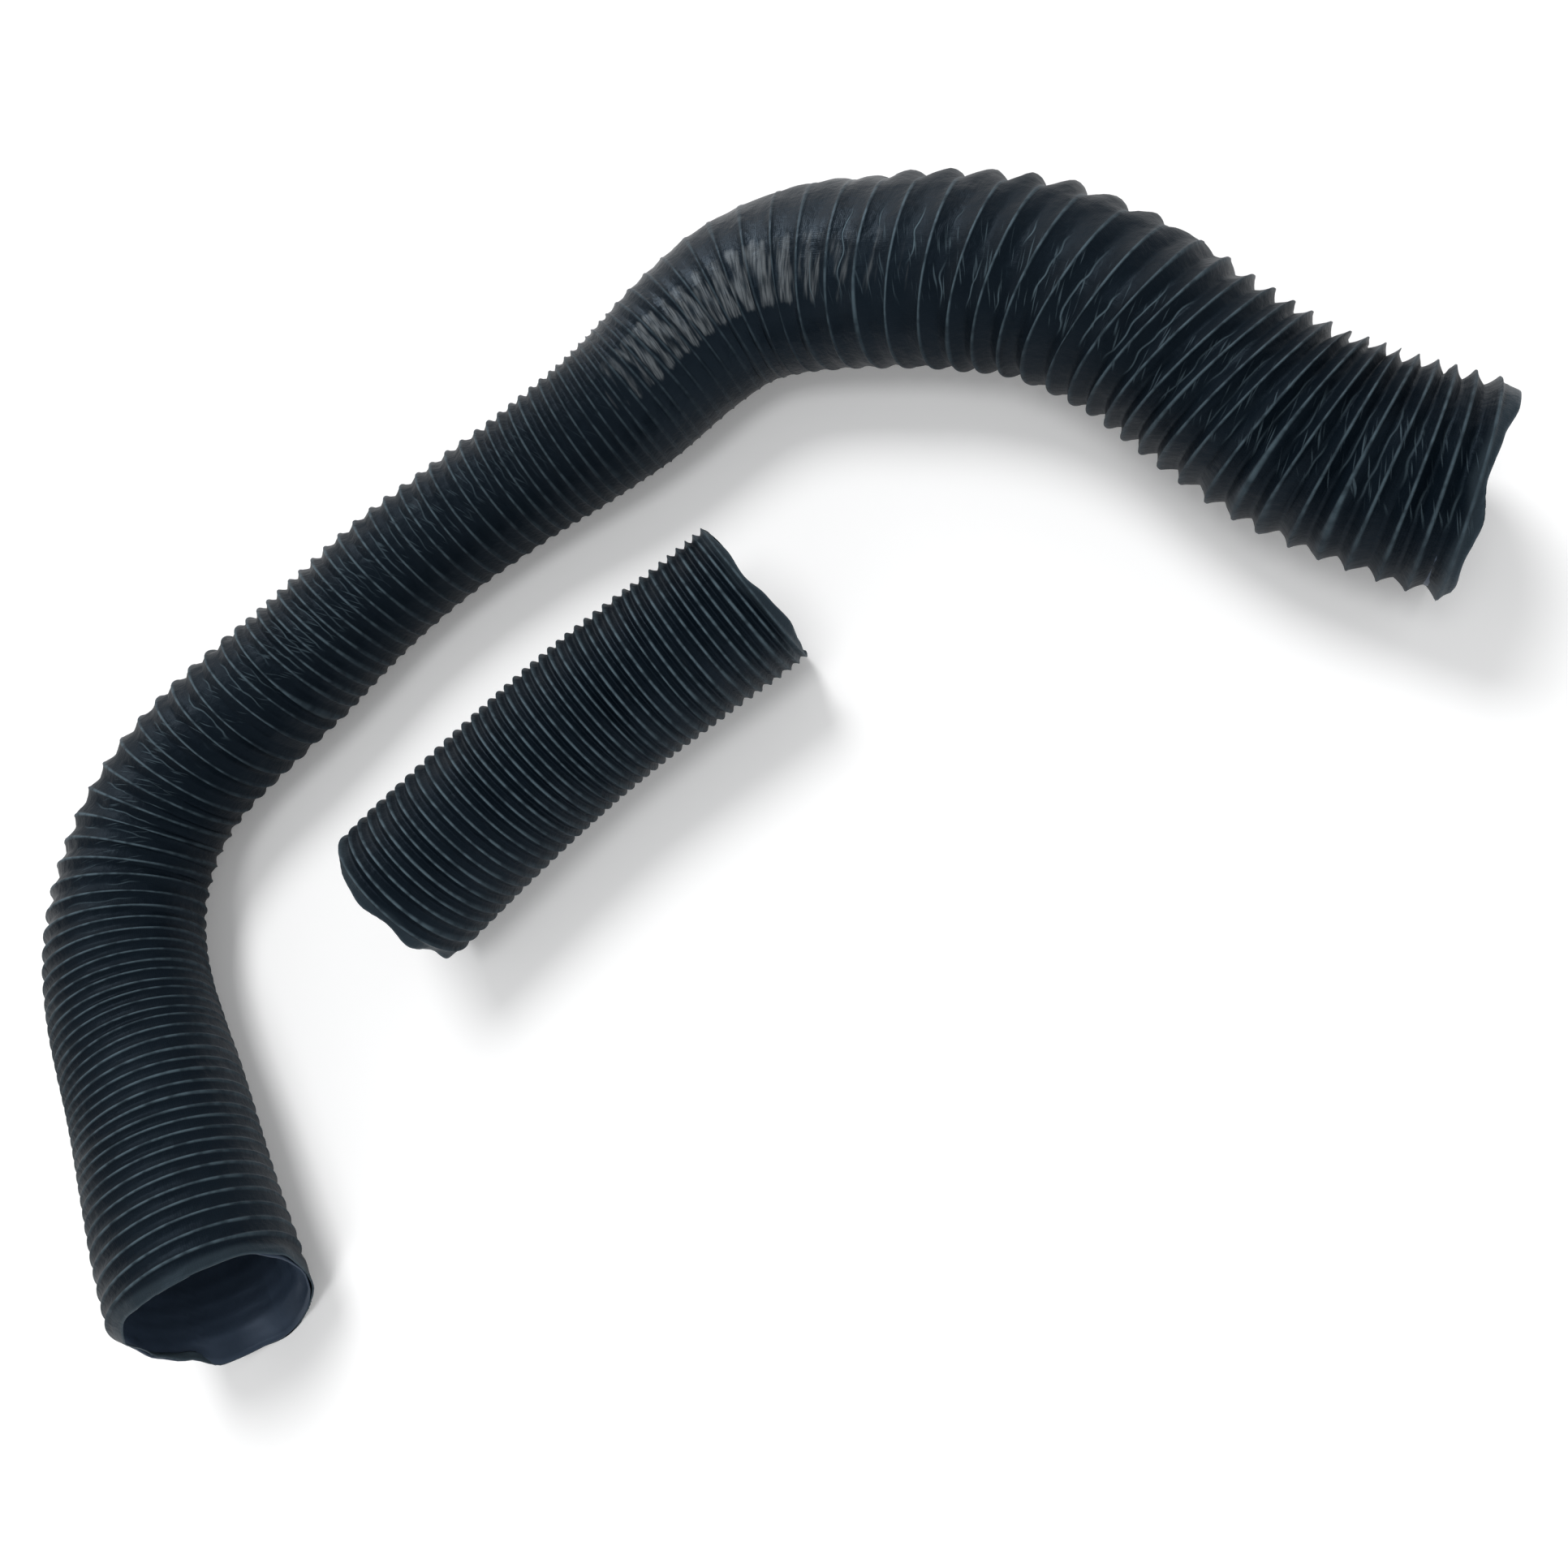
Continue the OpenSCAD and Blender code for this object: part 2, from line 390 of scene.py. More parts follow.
@dataclass(frozen=True)
class CutEdge:
    """A hose's cut edge, in even steps round the hose from its underside.

    Attributes:
        reach: How far the cloth reaches past the nominal edge, mm.
        drop: How far in the edge lies from the crests, mm.
        bore_back: How far short of the cloth the inner ply ends, mm.
    """

    reach: tuple[float, ...]
    drop: tuple[float, ...]
    bore_back: tuple[float, ...] = (2.0,)


def round_edge(values: tuple[float, ...], angle: Array) -> Array:
    """Reads a cut edge's values at an angle round the hose.

    Args:
        values: Values in even steps, from the underside over the left side.
        angle: Angles round the hose, degrees.

    Returns:
        The value at each angle.
    """
    count = len(values)
    place = np.mod(angle - SEAM, 360) / 360 * count
    first = np.floor(place).astype(int)
    t = smooth(place - first)
    table = np.array(values)
    return table[first % count] * (1 - t) + table[(first + 1) % count] * t


class Band(Enum):
    """Bands along a hose's upper side: the middle in degrees, and the cosine where each ends."""

    # The first five bands place painted highlights, on creases, crests, crumples and the taut
    # stretch, with the relief of the creases and crumples; the last places the mesh's crumpling
    CREASED = (115.0, 0.84)
    RUBBED = (115.0, 0.5)
    FINE_LINED = (115.0, 0.3)
    SLACK = (119.0, 0.88)
    SCUFFED = (121.0, 0.89)
    CRUMPLED = (95.0, -0.1)

    def share(self, angle: Array) -> Array:
        """Returns 1 in the band's middle, falling to 0 where it ends, at angles in degrees."""
        middle, least = self.value
        return smooth(np.cos(np.radians(angle - middle)), least, 0.95)


@dataclass(frozen=True)
class Fold:
    """A fold pressed into the inner ply near a mouth.

    Attributes:
        angle: Where it meets the mouth, degrees round the hose.
        slant: How far round it moves per mm along the hose, degrees.
        height: How far it stands into the bore, mm.
        reach: How far along the hose it runs, mm.
    """

    angle: float
    slant: float
    height: float
    reach: float


@dataclass
class HoseCloth:
    """The shape of one length's cloth: its section, ribs, creases and cut edges.

    Attributes:
        route: The length's axis and rib lay.
        size: Sizes that both lengths share.
        ribs: Depths and creases along it.
        cuts: Its near and far cut edges.
        folds: Folds of the inner ply at the near mouth.
        seed: Seed of its unevenness.
    """

    route: Route
    size: HoseSize
    ribs: RibShape
    cuts: tuple[CutEdge, CutEdge]
    folds: tuple[Fold, ...]
    seed: int

    def __post_init__(self) -> None:
        """Makes the unevenness."""
        self.uneven = Unevenness(self.seed)

    def point(self, s: Array, angle: Array, rise: Array) -> Array:
        """Places cloth in space.

        Args:
            s: Distances along the axis, mm.
            angle: Angles round the hose, degrees.
            rise: Heights over the round crest line, mm.

        Returns:
            Points, in mm, with x, y and z last.
        """
        middle = self.middle(s)
        heading = self.route.axis(s)[2]
        turned = np.radians(angle)
        out = (self.size.crest_r * self.ribs.width(s) + rise) * np.cos(turned)
        up = (self.size.crest_r * self.ribs.height(s) + rise) * np.sin(turned)
        ahead = up * np.tan(np.radians(self.ribs.lean(s)))
        ahead = ahead - out * np.tan(np.radians(self.ribs.skew(s)))
        x = middle[..., 0] + ahead * np.cos(heading) - out * np.sin(heading)
        y = middle[..., 1] + ahead * np.sin(heading) + out * np.cos(heading)
        return np.stack([x, y, np.maximum(middle[..., 2] + up, 0.0)], axis=-1)

    def middle(self, s: Array) -> Array:
        """Places the section's centre.

        Args:
            s: Distances along the axis, mm.

        Returns:
            Points in mm.
        """
        x, y, _ = self.route.axis(s)
        rest = self.size.crest_r * self.ribs.height(s) - self.size.floor_flat
        return np.stack([x, y, rest], axis=-1)

    def depth(self, s: Array, angle: Array) -> Array:
        """Works out how deep the cloth lies between the turns.

        Args:
            s: Distances along the axis, mm.
            angle: Angles round the hose, degrees.

        Returns:
            Depths in mm.
        """
        turned = np.radians(angle)
        side, upright = np.cos(turned), np.sin(turned)
        level = np.where(side > 0, self.ribs.left(s), self.ribs.right(s))
        tall = np.where(upright > 0, self.ribs.top(s), self.ribs.under(s))
        return side**2 * level + upright**2 * tall

    def phase(self, turns: Array, angle: Array) -> Array:
        """Returns the place between crests, whole on a crest. The crests run round as a helix."""
        return turns - angle / 360 + 1 / 8

    def edges(self, angle: Array) -> tuple[Array, Array]:
        """Returns where along the axis the near and the far cut edges lie at an angle, mm."""
        near, far = (round_edge(cut.reach, angle) for cut in self.cuts)
        return -near, self.route.length + far

    def ribbed(self, turns: Array, s: Array, angle: Array) -> Array:
        """Works out the ribbed cloth's height.

        Args:
            turns: Places in turns of the wire.
            s: The same places along the axis, mm.
            angle: Angles round the hose, degrees.

        Returns:
            Heights over the crest line, mm.
        """
        uneven, steepest, knots = 0.22, 0.48, 9
        phase = self.phase(turns, angle)
        rib = np.floor(phase)
        u = phase - rib
        pitch = self.route.pitch(turns)
        from_crest = np.minimum(u, 1 - u)
        level = self.depth(s, angle)
        depth = level * (1 + uneven * self.uneven.line(rib, angle, knots))
        depth = np.clip(np.minimum(depth, steepest * pitch), -self.size.billow, self.size.sink)
        bend = self.size.fold_round
        near = (np.hypot(from_crest * pitch, bend) - bend) / pitch
        # Sunken cloth folds almost to a V, and billowing cloth rounds out
        power = np.where(depth > 0, 1.4, 2.0)
        bulge = 1 - (1 - 2 * np.clip(near, 0, 0.5)) ** power
        height, half_width = self.size.ridge
        ridge = height * np.exp(-((from_crest * pitch / half_width) ** 2))
        rise = -depth * bulge + 0.5 * np.clip(level, -self.size.billow, 0) + ridge
        return rise + self.crumpling(s, angle, u)

    def crumpling(self, s: Array, angle: Array, u: Array) -> Array:
        """Works out the fine crumpling of slack cloth.

        Args:
            s: Distance along the axis, mm.
            angle: Angles round the hose, degrees.
            u: Place between one crest, 0, and the next, 1.

        Returns:
            Heights in mm.
        """
        grain, broad_grain, broad_height = 5.0, 23, 0.35
        knots = int(2 * math.pi * self.size.crest_r / grain)
        rough = self.uneven.patch(s / grain * 1.6, angle, knots)
        fine = self.uneven.patch(s / grain * 2.9 + 40, angle, knots * 2)
        slack = 1 - np.abs(2 * u - 1) ** 3
        broad = broad_height * self.uneven.patch(s / broad_grain + 9, angle, 8)
        share = self.ribs.crumple(s) * Band.CRUMPLED.share(angle)
        return share * slack * (rough + 0.6 * fine) + broad

    def plain(self, past: Array, s: Array, angle: Array, cut: CutEdge) -> Array:
        """Works out the plain cloth past the last turn of the wire.

        Args:
            past: How far from the last turn toward the cut, 0 to 1.
            s: Distance along the axis, mm.
            angle: Angles round the hose, degrees.
            cut: The cut edge.

        Returns:
            Heights over the crest line, mm.
        """
        start, grain, knots = -1.0, 6, 22
        t = np.clip(past, 0, 1.6)
        lumps = 0.5 * self.uneven.patch(s / grain + 3, angle, knots)
        return start + (-round_edge(cut.drop, angle) - start) * t**1.4 + lumps * np.clip(t, 0, 1)

    def skin(self, turns: Array, angle: Array) -> tuple[Array, Array]:
        """Places the outer ply, round its cut edges and a little way back inside.

        Args:
            turns: Places in turns of the wire; past a cut they carry on round its edge.
            angle: Angles round the hose, degrees.

        Returns:
            Points in mm, and how bare and pale the yarn is, from 0 to 1.
        """
        lip_round, yarn_end, fade = 0.8, 0.9, 0.3
        s = self.route.along(turns)
        near, far = self.edges(angle)
        over = np.maximum(near - s, s - far)
        back = np.clip(over - lip_round, 0, self.size.turned_in)
        s = np.where(s < near, near + back, np.where(s > far, far - back, s))
        turns = self.route.turns(s)
        rise = self.ribbed(turns, s, angle)
        phase = self.phase(turns, angle)
        first, last = self.route.stretches[0].lips[0], self.route.stretches[-1].lips[1]
        pasts = ((-phase, first), (phase - self.route.ribs, last))
        for cut, (past, lip) in zip(self.cuts, pasts):
            beyond = smooth(past, -0.05, fade)
            share = past * self.route.pitch(turns) / lip
            rise = rise * (1 - beyond) + self.plain(share, s, angle, cut) * beyond
        thickness = self.size.ply * np.clip(over / lip_round, 0, 1)
        yarn = np.exp(-((np.minimum(over, 0) / yarn_end) ** 2))
        handled = 0.4 * smooth(over, -6.5, -3.5)
        return self.point(s, angle, rise - thickness), np.maximum(yarn, handled)

    def wear(self, turns: Array, s: Array, angle: Array) -> dict[str, Array]:
        """Works out what the cloth's material reads from its mesh.

        Args:
            turns: Places in turns of the wire.
            s: The same places along the axis, mm.
            angle: Angles round the hose, degrees.

        Returns:
            The rib's phase and pitch in mm; from 0 to 1, how pale the crests are, partly as wear
            and partly as a painted highlight, how creased and how slack the cloth is, both with
            relief and a painted highlight, how taut it is and where painted gloss lies; and how
            many times as wide as at their narrowest the crest lines are.
        """
        phase = self.phase(turns, angle)
        last = self.route.ribs
        ribbed = smooth(phase, -0.4, -0.1) * (1 - smooth(phase, last + 0.1, last + 0.4))
        taut = self.ribs.taut(s)
        loose = smooth(self.ribs.crumple(s), 0.12, 0.3)
        return {
            # Kept above 0, as the shader counts the ribs from it
            "phase": phase + 20,
            "pitch": self.route.pitch(turns),
            # The crests' pale line is partly wear and partly a painted highlight, strongest over
            # the upper side
            "rub": ribbed * self.ribs.rub(s) * (0.3 + 0.7 * Band.RUBBED.share(angle)),
            "crease": ribbed * self.ribs.crease(s) * Band.CREASED.share(angle),
            "taut": taut,
            # Painted gloss: a pale highlight painted on the taut stretch, round the upper side
            "scuff": taut * Band.SCUFFED.share(angle),
            "slack": ribbed * loose * Band.SLACK.share(angle),
            "band": 1.0 + 1.3 * (1 - Band.FINE_LINED.share(angle)),
        }

    def wire_path(self, turns: Array) -> tuple[Array, Array, Array]:
        """Follows the wire.

        Args:
            turns: Places in turns of the wire.

        Returns:
            Its distance along the axis in mm, its angle and its height over the crest line.
        """
        angle = np.mod(360 * (turns + 1 / 8) - SEAM, 360) + SEAM
        s = self.route.along(turns)
        billow = np.clip(self.depth(s, angle), -self.size.billow, 0)
        return s, angle, self.size.wire_rise + 0.5 * billow

    def bore(self, s: Array, angle: Array, rise: float) -> Array:
        """Places the inner ply.

        Args:
            s: Distances along the axis, mm.
            angle: Angles round the hose, degrees.
            rise: Height of this face over the crest line, mm.

        Returns:
            Points in mm.
        """
        gap, seen_wire, grain, knots, fold_half = 0.2, 0.28, 17, 10, 7
        near, far = self.edges(angle)
        for cut, inside in zip(self.cuts, (s - near, far - s)):
            edge = rise - self.size.bore_rise - round_edge(cut.drop, angle) - self.size.ply - gap
            flare = 1 - smooth(inside, 2.0, 13.0)
            rise = rise * (1 - flare) + edge * flare
        phase = self.phase(self.route.turns(s), angle)
        slack = 0.5 * self.uneven.patch(s / grain + 70, angle, knots)
        total = rise + seen_wire * np.cos(2 * math.pi * phase) - np.abs(slack)
        for fold in self.folds:
            away = np.mod(angle - (fold.angle + fold.slant * s) + 180, 360) - 180
            reach = smooth(s, 0.0, 14.0) * (1 - smooth(s, 0.35 * fold.reach, fold.reach))
            total = total - fold.height * reach * np.exp(-((away / fold_half) ** 2))
        return self.point(s, angle, total)


# ---- Finishes -----------------------------------------------------------------------------------


@dataclass(frozen=True)
class Finish(ABC):
    """A material made of shader nodes.

    Attributes:
        name: The real material's name.
    """

    name: str

    @abstractmethod
    def surface(self, add: Adder) -> Source:
        """Adds the material's nodes.

        Args:
            add: Adds a node to the material.

        Returns:
            The shader.
        """

    def build(self) -> bpy.types.Material:
        """Makes the material.

        Returns:
            The material, ready for a mesh.
        """
        made = bpy.data.materials.new(self.name)
        made.use_nodes = True
        made.node_tree.nodes.clear()
        add = partial(add_node, made.node_tree)
        add("OutputMaterial", {}, {"Surface": self.surface(add)})
        return made


@dataclass(frozen=True)
class CoatedCloth(Finish):
    """Rubber-coated polyester cloth, calendered: near black, satin, with paler crests, partly worn
    and partly a painted highlight, and painted gloss where it is taut.
    """

    name: str = "coated_polyester_cloth"
    valley: str = "040910"
    smoke: str = "09131b"
    # Pale crest colour: partly wear and partly a painted highlight, which creases and crumples take
    # as a painted highlight too
    crest: str = "596a73"
    # Painted gloss: the colour of the highlight painted on the taut stretch
    painted_gloss: str = "6c7174"
    cut: str = "39444b"
    sheen: str = "c2e2ff"
    rough: float = 0.5
    taut_rough: float = 0.38
    thread_mm: float = 0.9
    weave_depth_mm: float = 0.05
    crest_half_mm: float = 0.85
    crease_half_mm: float = 0.65

    def surface(self, add: Adder) -> Source:
        """Adds the cloth's nodes.

        Args:
            add: Adds a node to the material.

        Returns:
            The shader.
        """
        reads = ("phase", "pitch", "rub", "crease", "edge", "taut", "scuff", "slack", "band")
        read = {
            name: add("Attribute", {"attribute_name": name}).outputs["Fac"] for name in reads
        }
        at = add("Attribute", {"attribute_name": "cloth_mm"}).outputs["Vector"]
        read["at"] = at
        read["from_crest"] = add("Math", {"operation": "PINGPONG", 1: 0.5}, {0: read["phase"]})
        lines = [mask(add, read) for mask in (self.crests, self.creases, self.crumples)]
        # Dust and rubbing cloud the coating in patches about 30 mm across
        cloud = add("TexNoise", {"Scale": 1 / 30, "Detail": 3.0}, {"Vector": at})
        # The crest lines pale the colour, partly as wear and partly as a painted highlight
        worn_and_highlit = lines[0]
        # Creases and crumples add a painted highlight to that paleness
        for mask, share in zip(lines[1:], (0.8, 0.6)):
            highlit_line = add("Math", TIMES | {1: share}, {0: mask})
            worn_and_highlit = add("Math", {"operation": "MAXIMUM"}, {0: worn_and_highlit, 1: highlit_line})
        ends = {6: linear(self.valley), 7: linear(self.smoke)}
        colour = add("Mix", {"data_type": "RGBA"} | ends, {0: cloud}).outputs[2]
        # Paled crests with their painted highlight, painted gloss streaks, and bare yarn ends along
        # the cut
        shares = (worn_and_highlit, self.painted_gloss_streaks(add, read), read["edge"])
        for share, shade in zip(shares, (self.crest, self.painted_gloss, self.cut)):
            settings = {"data_type": "RGBA", 7: linear(shade)}
            colour = add("Mix", settings, {0: share, 6: colour}).outputs[2]
        settings = SMOOTH | {"To Min": self.rough, "To Max": self.taut_rough}
        gloss = add("MapRange", settings, {"Value": read["taut"]})
        settings = SMOOTH | {"From Min": 0.3, "From Max": 0.7, "To Min": -0.06, "To Max": 0.08}
        mottle = add("MapRange", settings, {"Value": cloud})
        shine = add("MapRange", SMOOTH | {"To Min": 0.15, "To Max": 0.2}, {"Value": read["taut"]})
        return add(
            "BsdfPrincipled",
            {"IOR": 1.5, "Specular Tint": linear(self.sheen)},
            {
                "Base Color": colour,
                "Specular IOR Level": shine,
                "Roughness": add("Math", {"operation": "ADD"}, {0: gloss, 1: mottle}),
                "Normal": self.relief(add, at, lines),
            },
        )

    def crests(self, add: Adder, read: dict[str, Source]) -> Source:
        """Adds the mask of the pale line along the wire, partly rubbed and partly a painted
        highlight, broken into dashes about 6 mm long.

        Args:
            add: Adds a node to the material.
            read: What the material reads from the mesh.

        Returns:
            The mask.
        """
        away = add("Math", TIMES, {0: read["from_crest"], 1: read["pitch"]})
        away = add("Math", {"operation": "DIVIDE"}, {0: away, 1: read["band"]})
        settings = SMOOTH | {"From Min": self.crest_half_mm, "From Max": 0.15}
        line = add("MapRange", settings, {"Value": away})
        noise = add("TexNoise", {"Scale": 1 / 6, "Detail": 2.0}, {"Vector": read["at"]})
        settings = SMOOTH | {"From Min": 0.32, "From Max": 0.62, "To Min": 0.35}
        dash = add("MapRange", settings, {"Value": noise})
        return add("Math", TIMES, {0: line, 1: add("Math", TIMES, {0: read["rub"], 1: dash})})

    def creases(self, add: Adder, read: dict[str, Source]) -> Source:
        """Adds the mask of the crease that wanders between two turns of the wire, which gives its
        relief and its painted highlight.

        Args:
            add: Adds a node to the material.
            read: What the material reads from the mesh.

        Returns:
            The mask.
        """
        valley = add("Math", {"operation": "FRACT"}, {0: read["phase"]})
        rib = add("Math", {"operation": "FLOOR"}, {0: read["phase"]})
        across = add("SeparateXYZ", {}, {"Vector": read["at"]}).outputs["Y"]
        # Each valley reads its own line of noise, which bends about every 16 mm
        own = add("Math", TIMES | {1: 7.3}, {0: rib})
        round_hose = add("Math", TIMES | {1: 1 / 16}, {0: across})
        place = add("CombineXYZ", {}, {"X": own, "Y": round_hose})
        wave = add("TexNoise", {"Scale": 1.0, "Detail": 1.0}, {"Vector": place})
        settings = SMOOTH | {"From Min": 0.3, "From Max": 0.7, "To Min": 0.4, "To Max": 0.6}
        bent = add("MapRange", settings, {"Value": wave})
        away = add("Math", {"operation": "SUBTRACT"}, {0: valley, 1: bent})
        away = add("Math", {"operation": "ABSOLUTE"}, {0: away})
        away = add("Math", TIMES, {0: away, 1: read["pitch"]})
        settings = SMOOTH | {"From Min": self.crease_half_mm, "From Max": 0.1}
        line = add("MapRange", settings, {"Value": away})
        # It fades in and out over about 25 mm
        breaks = add("TexNoise", {"Scale": 1 / 2.2, "Detail": 1.0}, {"Vector": place})
        gap = add("MapRange", SMOOTH | {"From Min": 0.42, "From Max": 0.56}, {"Value": breaks})
        return add("Math", TIMES, {0: line, 1: add("Math", TIMES, {0: read["crease"], 1: gap})})

    def crumples(self, add: Adder, read: dict[str, Source]) -> Source:
        """Adds the mask of short sharp crumples across slack cloth, about 10 mm by 1 mm, which
        gives their relief and their painted highlight.

        Args:
            add: Adds a node to the material.
            read: What the material reads from the mesh.

        Returns:
            The mask.
        """
        dashes = self.streaks(add, read["at"], -0.4, (1.0, 16.0))
        settings = SMOOTH | {"From Min": 0.6, "From Max": 0.74, "To Max": 0.75}
        return add("Math", TIMES, {0: add("MapRange", settings, {0: dashes}), 1: read["slack"]})

    def painted_gloss_streaks(self, add: Adder, read: dict[str, Source]) -> Source:
        """Adds the mask of painted gloss: pale streaks along the wire, about 20 mm by 2 mm, painted
        where a highlight falls on the taut cloth.

        Args:
            add: Adds a node to the material.
            read: What the material reads from the mesh.

        Returns:
            The mask.
        """
        broad = self.streaks(add, read["at"], 0.0, (3.0, 15.0))
        fine = self.streaks(add, read["at"], 0.12, (0.9, 9.0))
        there = add("Math", TIMES | {1: 0.6}, {0: read["scuff"]})
        ragged = add("Math", {"operation": "ADD"}, {0: there, 1: broad})
        # They reach farther between two turns than over the wire
        settings = SMOOTH | {"From Max": 0.4, "To Min": -0.14, "To Max": 0.1}
        farther = add("MapRange", settings, {"Value": read["from_crest"]})
        ragged = add("Math", {"operation": "ADD"}, {0: ragged, 1: farther})
        marks = add("MapRange", SMOOTH | {"From Min": 0.92, "From Max": 1.25}, {"Value": ragged})
        settings = SMOOTH | {"From Min": 0.3, "From Max": 0.65, "To Min": 0.25}
        for part in (add("MapRange", settings, {"Value": fine}), read["scuff"]):
            marks = add("Math", TIMES, {0: marks, 1: part})
        return add("Math", TIMES | {1: 0.8}, {0: marks})

    def streaks(self, add: Adder, at: Source, turn: float, size: Point) -> Source:
        """Adds noise drawn out one way.

        Args:
            add: Adds a node to the material.
            at: Place on the cloth, mm.
            turn: How far the streaks turn from round the hose, radians.
            size: A streak's width and length, mm.

        Returns:
            The noise.
        """
        settings = {"vector_type": "TEXTURE", "Rotation": (0.0, 0.0, turn), "Scale": (*size, 1.0)}
        turned = add("Mapping", settings, {"Vector": at})
        return add("TexNoise", {"Scale": 1.0, "Detail": 1.0}, {"Vector": turned})

    def relief(self, add: Adder, at: Source, lines: list[Source]) -> Source:
        """Adds the fine relief: threads, ripples of the coating, crests and creases.

        Args:
            add: Adds a node to the material.
            at: Place on the cloth, mm.
            lines: Masks of the crests, creases and crumples.

        Returns:
            The last bump, which gives the normal.
        """
        # Threads under the coating, drawn about twice as coarse as real ones so that they show.
        # A wave texture has 20 / (2 pi) waves per unit at scale 1.
        scale = 2 * math.pi / (20 * self.thread_mm)
        warp, weft = (
            add("TexWave", {"bands_direction": way, "Scale": scale}, {"Vector": at}) for way in "XY"
        )
        ripples = [
            add("TexNoise", {"Scale": 1 / size, "Detail": 2.0}, {"Vector": at}) for size in (2, 7)
        ]
        threads = add("Math", {"operation": "MAXIMUM"}, {0: warp, 1: weft})
        heights = (threads, *ripples, *lines)
        depths_mm = (self.weave_depth_mm, 0.3, 0.9, 0.2, 0.6, 0.3)
        under = {}
        for height, depth_mm in zip(heights, depths_mm):
            settings = {"Strength": 0.7, "Distance": depth_mm * MM}
            under = {"Normal": add("Bump", settings, {"Height": height} | under)}
        return under["Normal"]


@dataclass(frozen=True)
class InnerPlyCloth(Finish):
    """Rubber-coated inner ply, coated side in: dark blue-black and smooth, half gloss."""

    name: str = "inner_ply_cloth"
    deep: str = "2a3543"
    light: str = "323e4e"
    sheen: str = "cfe2ff"
    rough: float = 0.42

    def surface(self, add: Adder) -> Source:
        """Adds the inner ply's nodes.

        Args:
            add: Adds a node to the material.

        Returns:
            The shader.
        """
        at = add("Attribute", {"attribute_name": "cloth_mm"}).outputs["Vector"]
        # Handling marks about 25 mm across, and coating ripples of 3 mm
        cloud = add("TexNoise", {"Scale": 1 / 25, "Detail": 4.0}, {"Vector": at})
        ripple = add("TexNoise", {"Scale": 1 / 3}, {"Vector": at})
        ramp = add("ValToRGB", {}, {"Fac": cloud})
        stops = ((0.35, self.deep), (0.7, self.light))
        for stop, (place, shade) in zip(ramp.color_ramp.elements, stops):
            stop.position, stop.color = place, linear(shade)
        settings = {"To Min": self.rough - 0.06, "To Max": self.rough + 0.1}
        rough = add("MapRange", settings, {"Value": cloud})
        bump = add("Bump", {"Strength": 0.4, "Distance": 0.2 * MM}, {"Height": ripple})
        return add(
            "BsdfPrincipled",
            {"IOR": 1.5, "Specular IOR Level": 0.4, "Specular Tint": linear(self.sheen)},
            {"Base Color": ramp, "Roughness": rough, "Normal": bump},
        )


@dataclass(frozen=True)
class SpringSteel(Finish):
    """Hard-drawn spring steel wire: bright, with fine die lines along it and a little tarnish."""

    name: str = "drawn_spring_steel"
    bright: str = "c9cbcd"
    tarnish: str = "8d8a84"
    rough: float = 0.3

    def surface(self, add: Adder) -> Source:
        """Adds the wire's nodes.

        Args:
            add: Adds a node to the material.

        Returns:
            The shader.
        """
        at = add("Attribute", {"attribute_name": "cloth_mm"}).outputs["Vector"]
        # Tarnish comes in spots about 6 mm long
        spots = add("TexNoise", {"Scale": 1 / 6, "Detail": 4.0}, {"Vector": at})
        ramp = add("ValToRGB", {}, {"Fac": spots})
        stops = ((0.4, self.bright), (0.75, self.tarnish))
        for stop, (place, shade) in zip(ramp.color_ramp.elements, stops):
            stop.position, stop.color = place, linear(shade)
        settings = {"To Min": self.rough - 0.05, "To Max": self.rough + 0.2}
        rough = add("MapRange", settings, {"Value": spots})
        return add("BsdfPrincipled", {"Metallic": 1.0}, {"Base Color": ramp, "Roughness": rough})


@dataclass(frozen=True)
class PaleFloor(Finish):
    """Matt white studio floor that the lens sees as white, with the hose's soft shadow on it."""

    name: str = "studio_floor"
    paint: str = "f4f4f4"
    lift: float = 0.17

    def surface(self, add: Adder) -> Source:
        """Adds the floor's nodes, with a glow that only the lens, metal and glass see.

        Args:
            add: Adds a node to the material.

        Returns:
            The shader.
        """
        matt = add("BsdfDiffuse", {"Color": linear(self.paint), "Roughness": 0.0})
        path = add("LightPath")
        seen = path.outputs["Is Camera Ray"]
        for way in ("Is Glossy Ray", "Is Transmission Ray"):
            seen = add("Math", {"operation": "MAXIMUM"}, {0: seen, 1: path.outputs[way]})
        lifted = add("Math", TIMES | {1: self.lift}, {0: seen})
        glow = add("Emission", {"Color": linear("ffffff")}, {"Strength": lifted})
        return add("AddShader", {}, {0: matt, 1: glow})


# ---- Meshes -------------------------------------------------------------------------------------


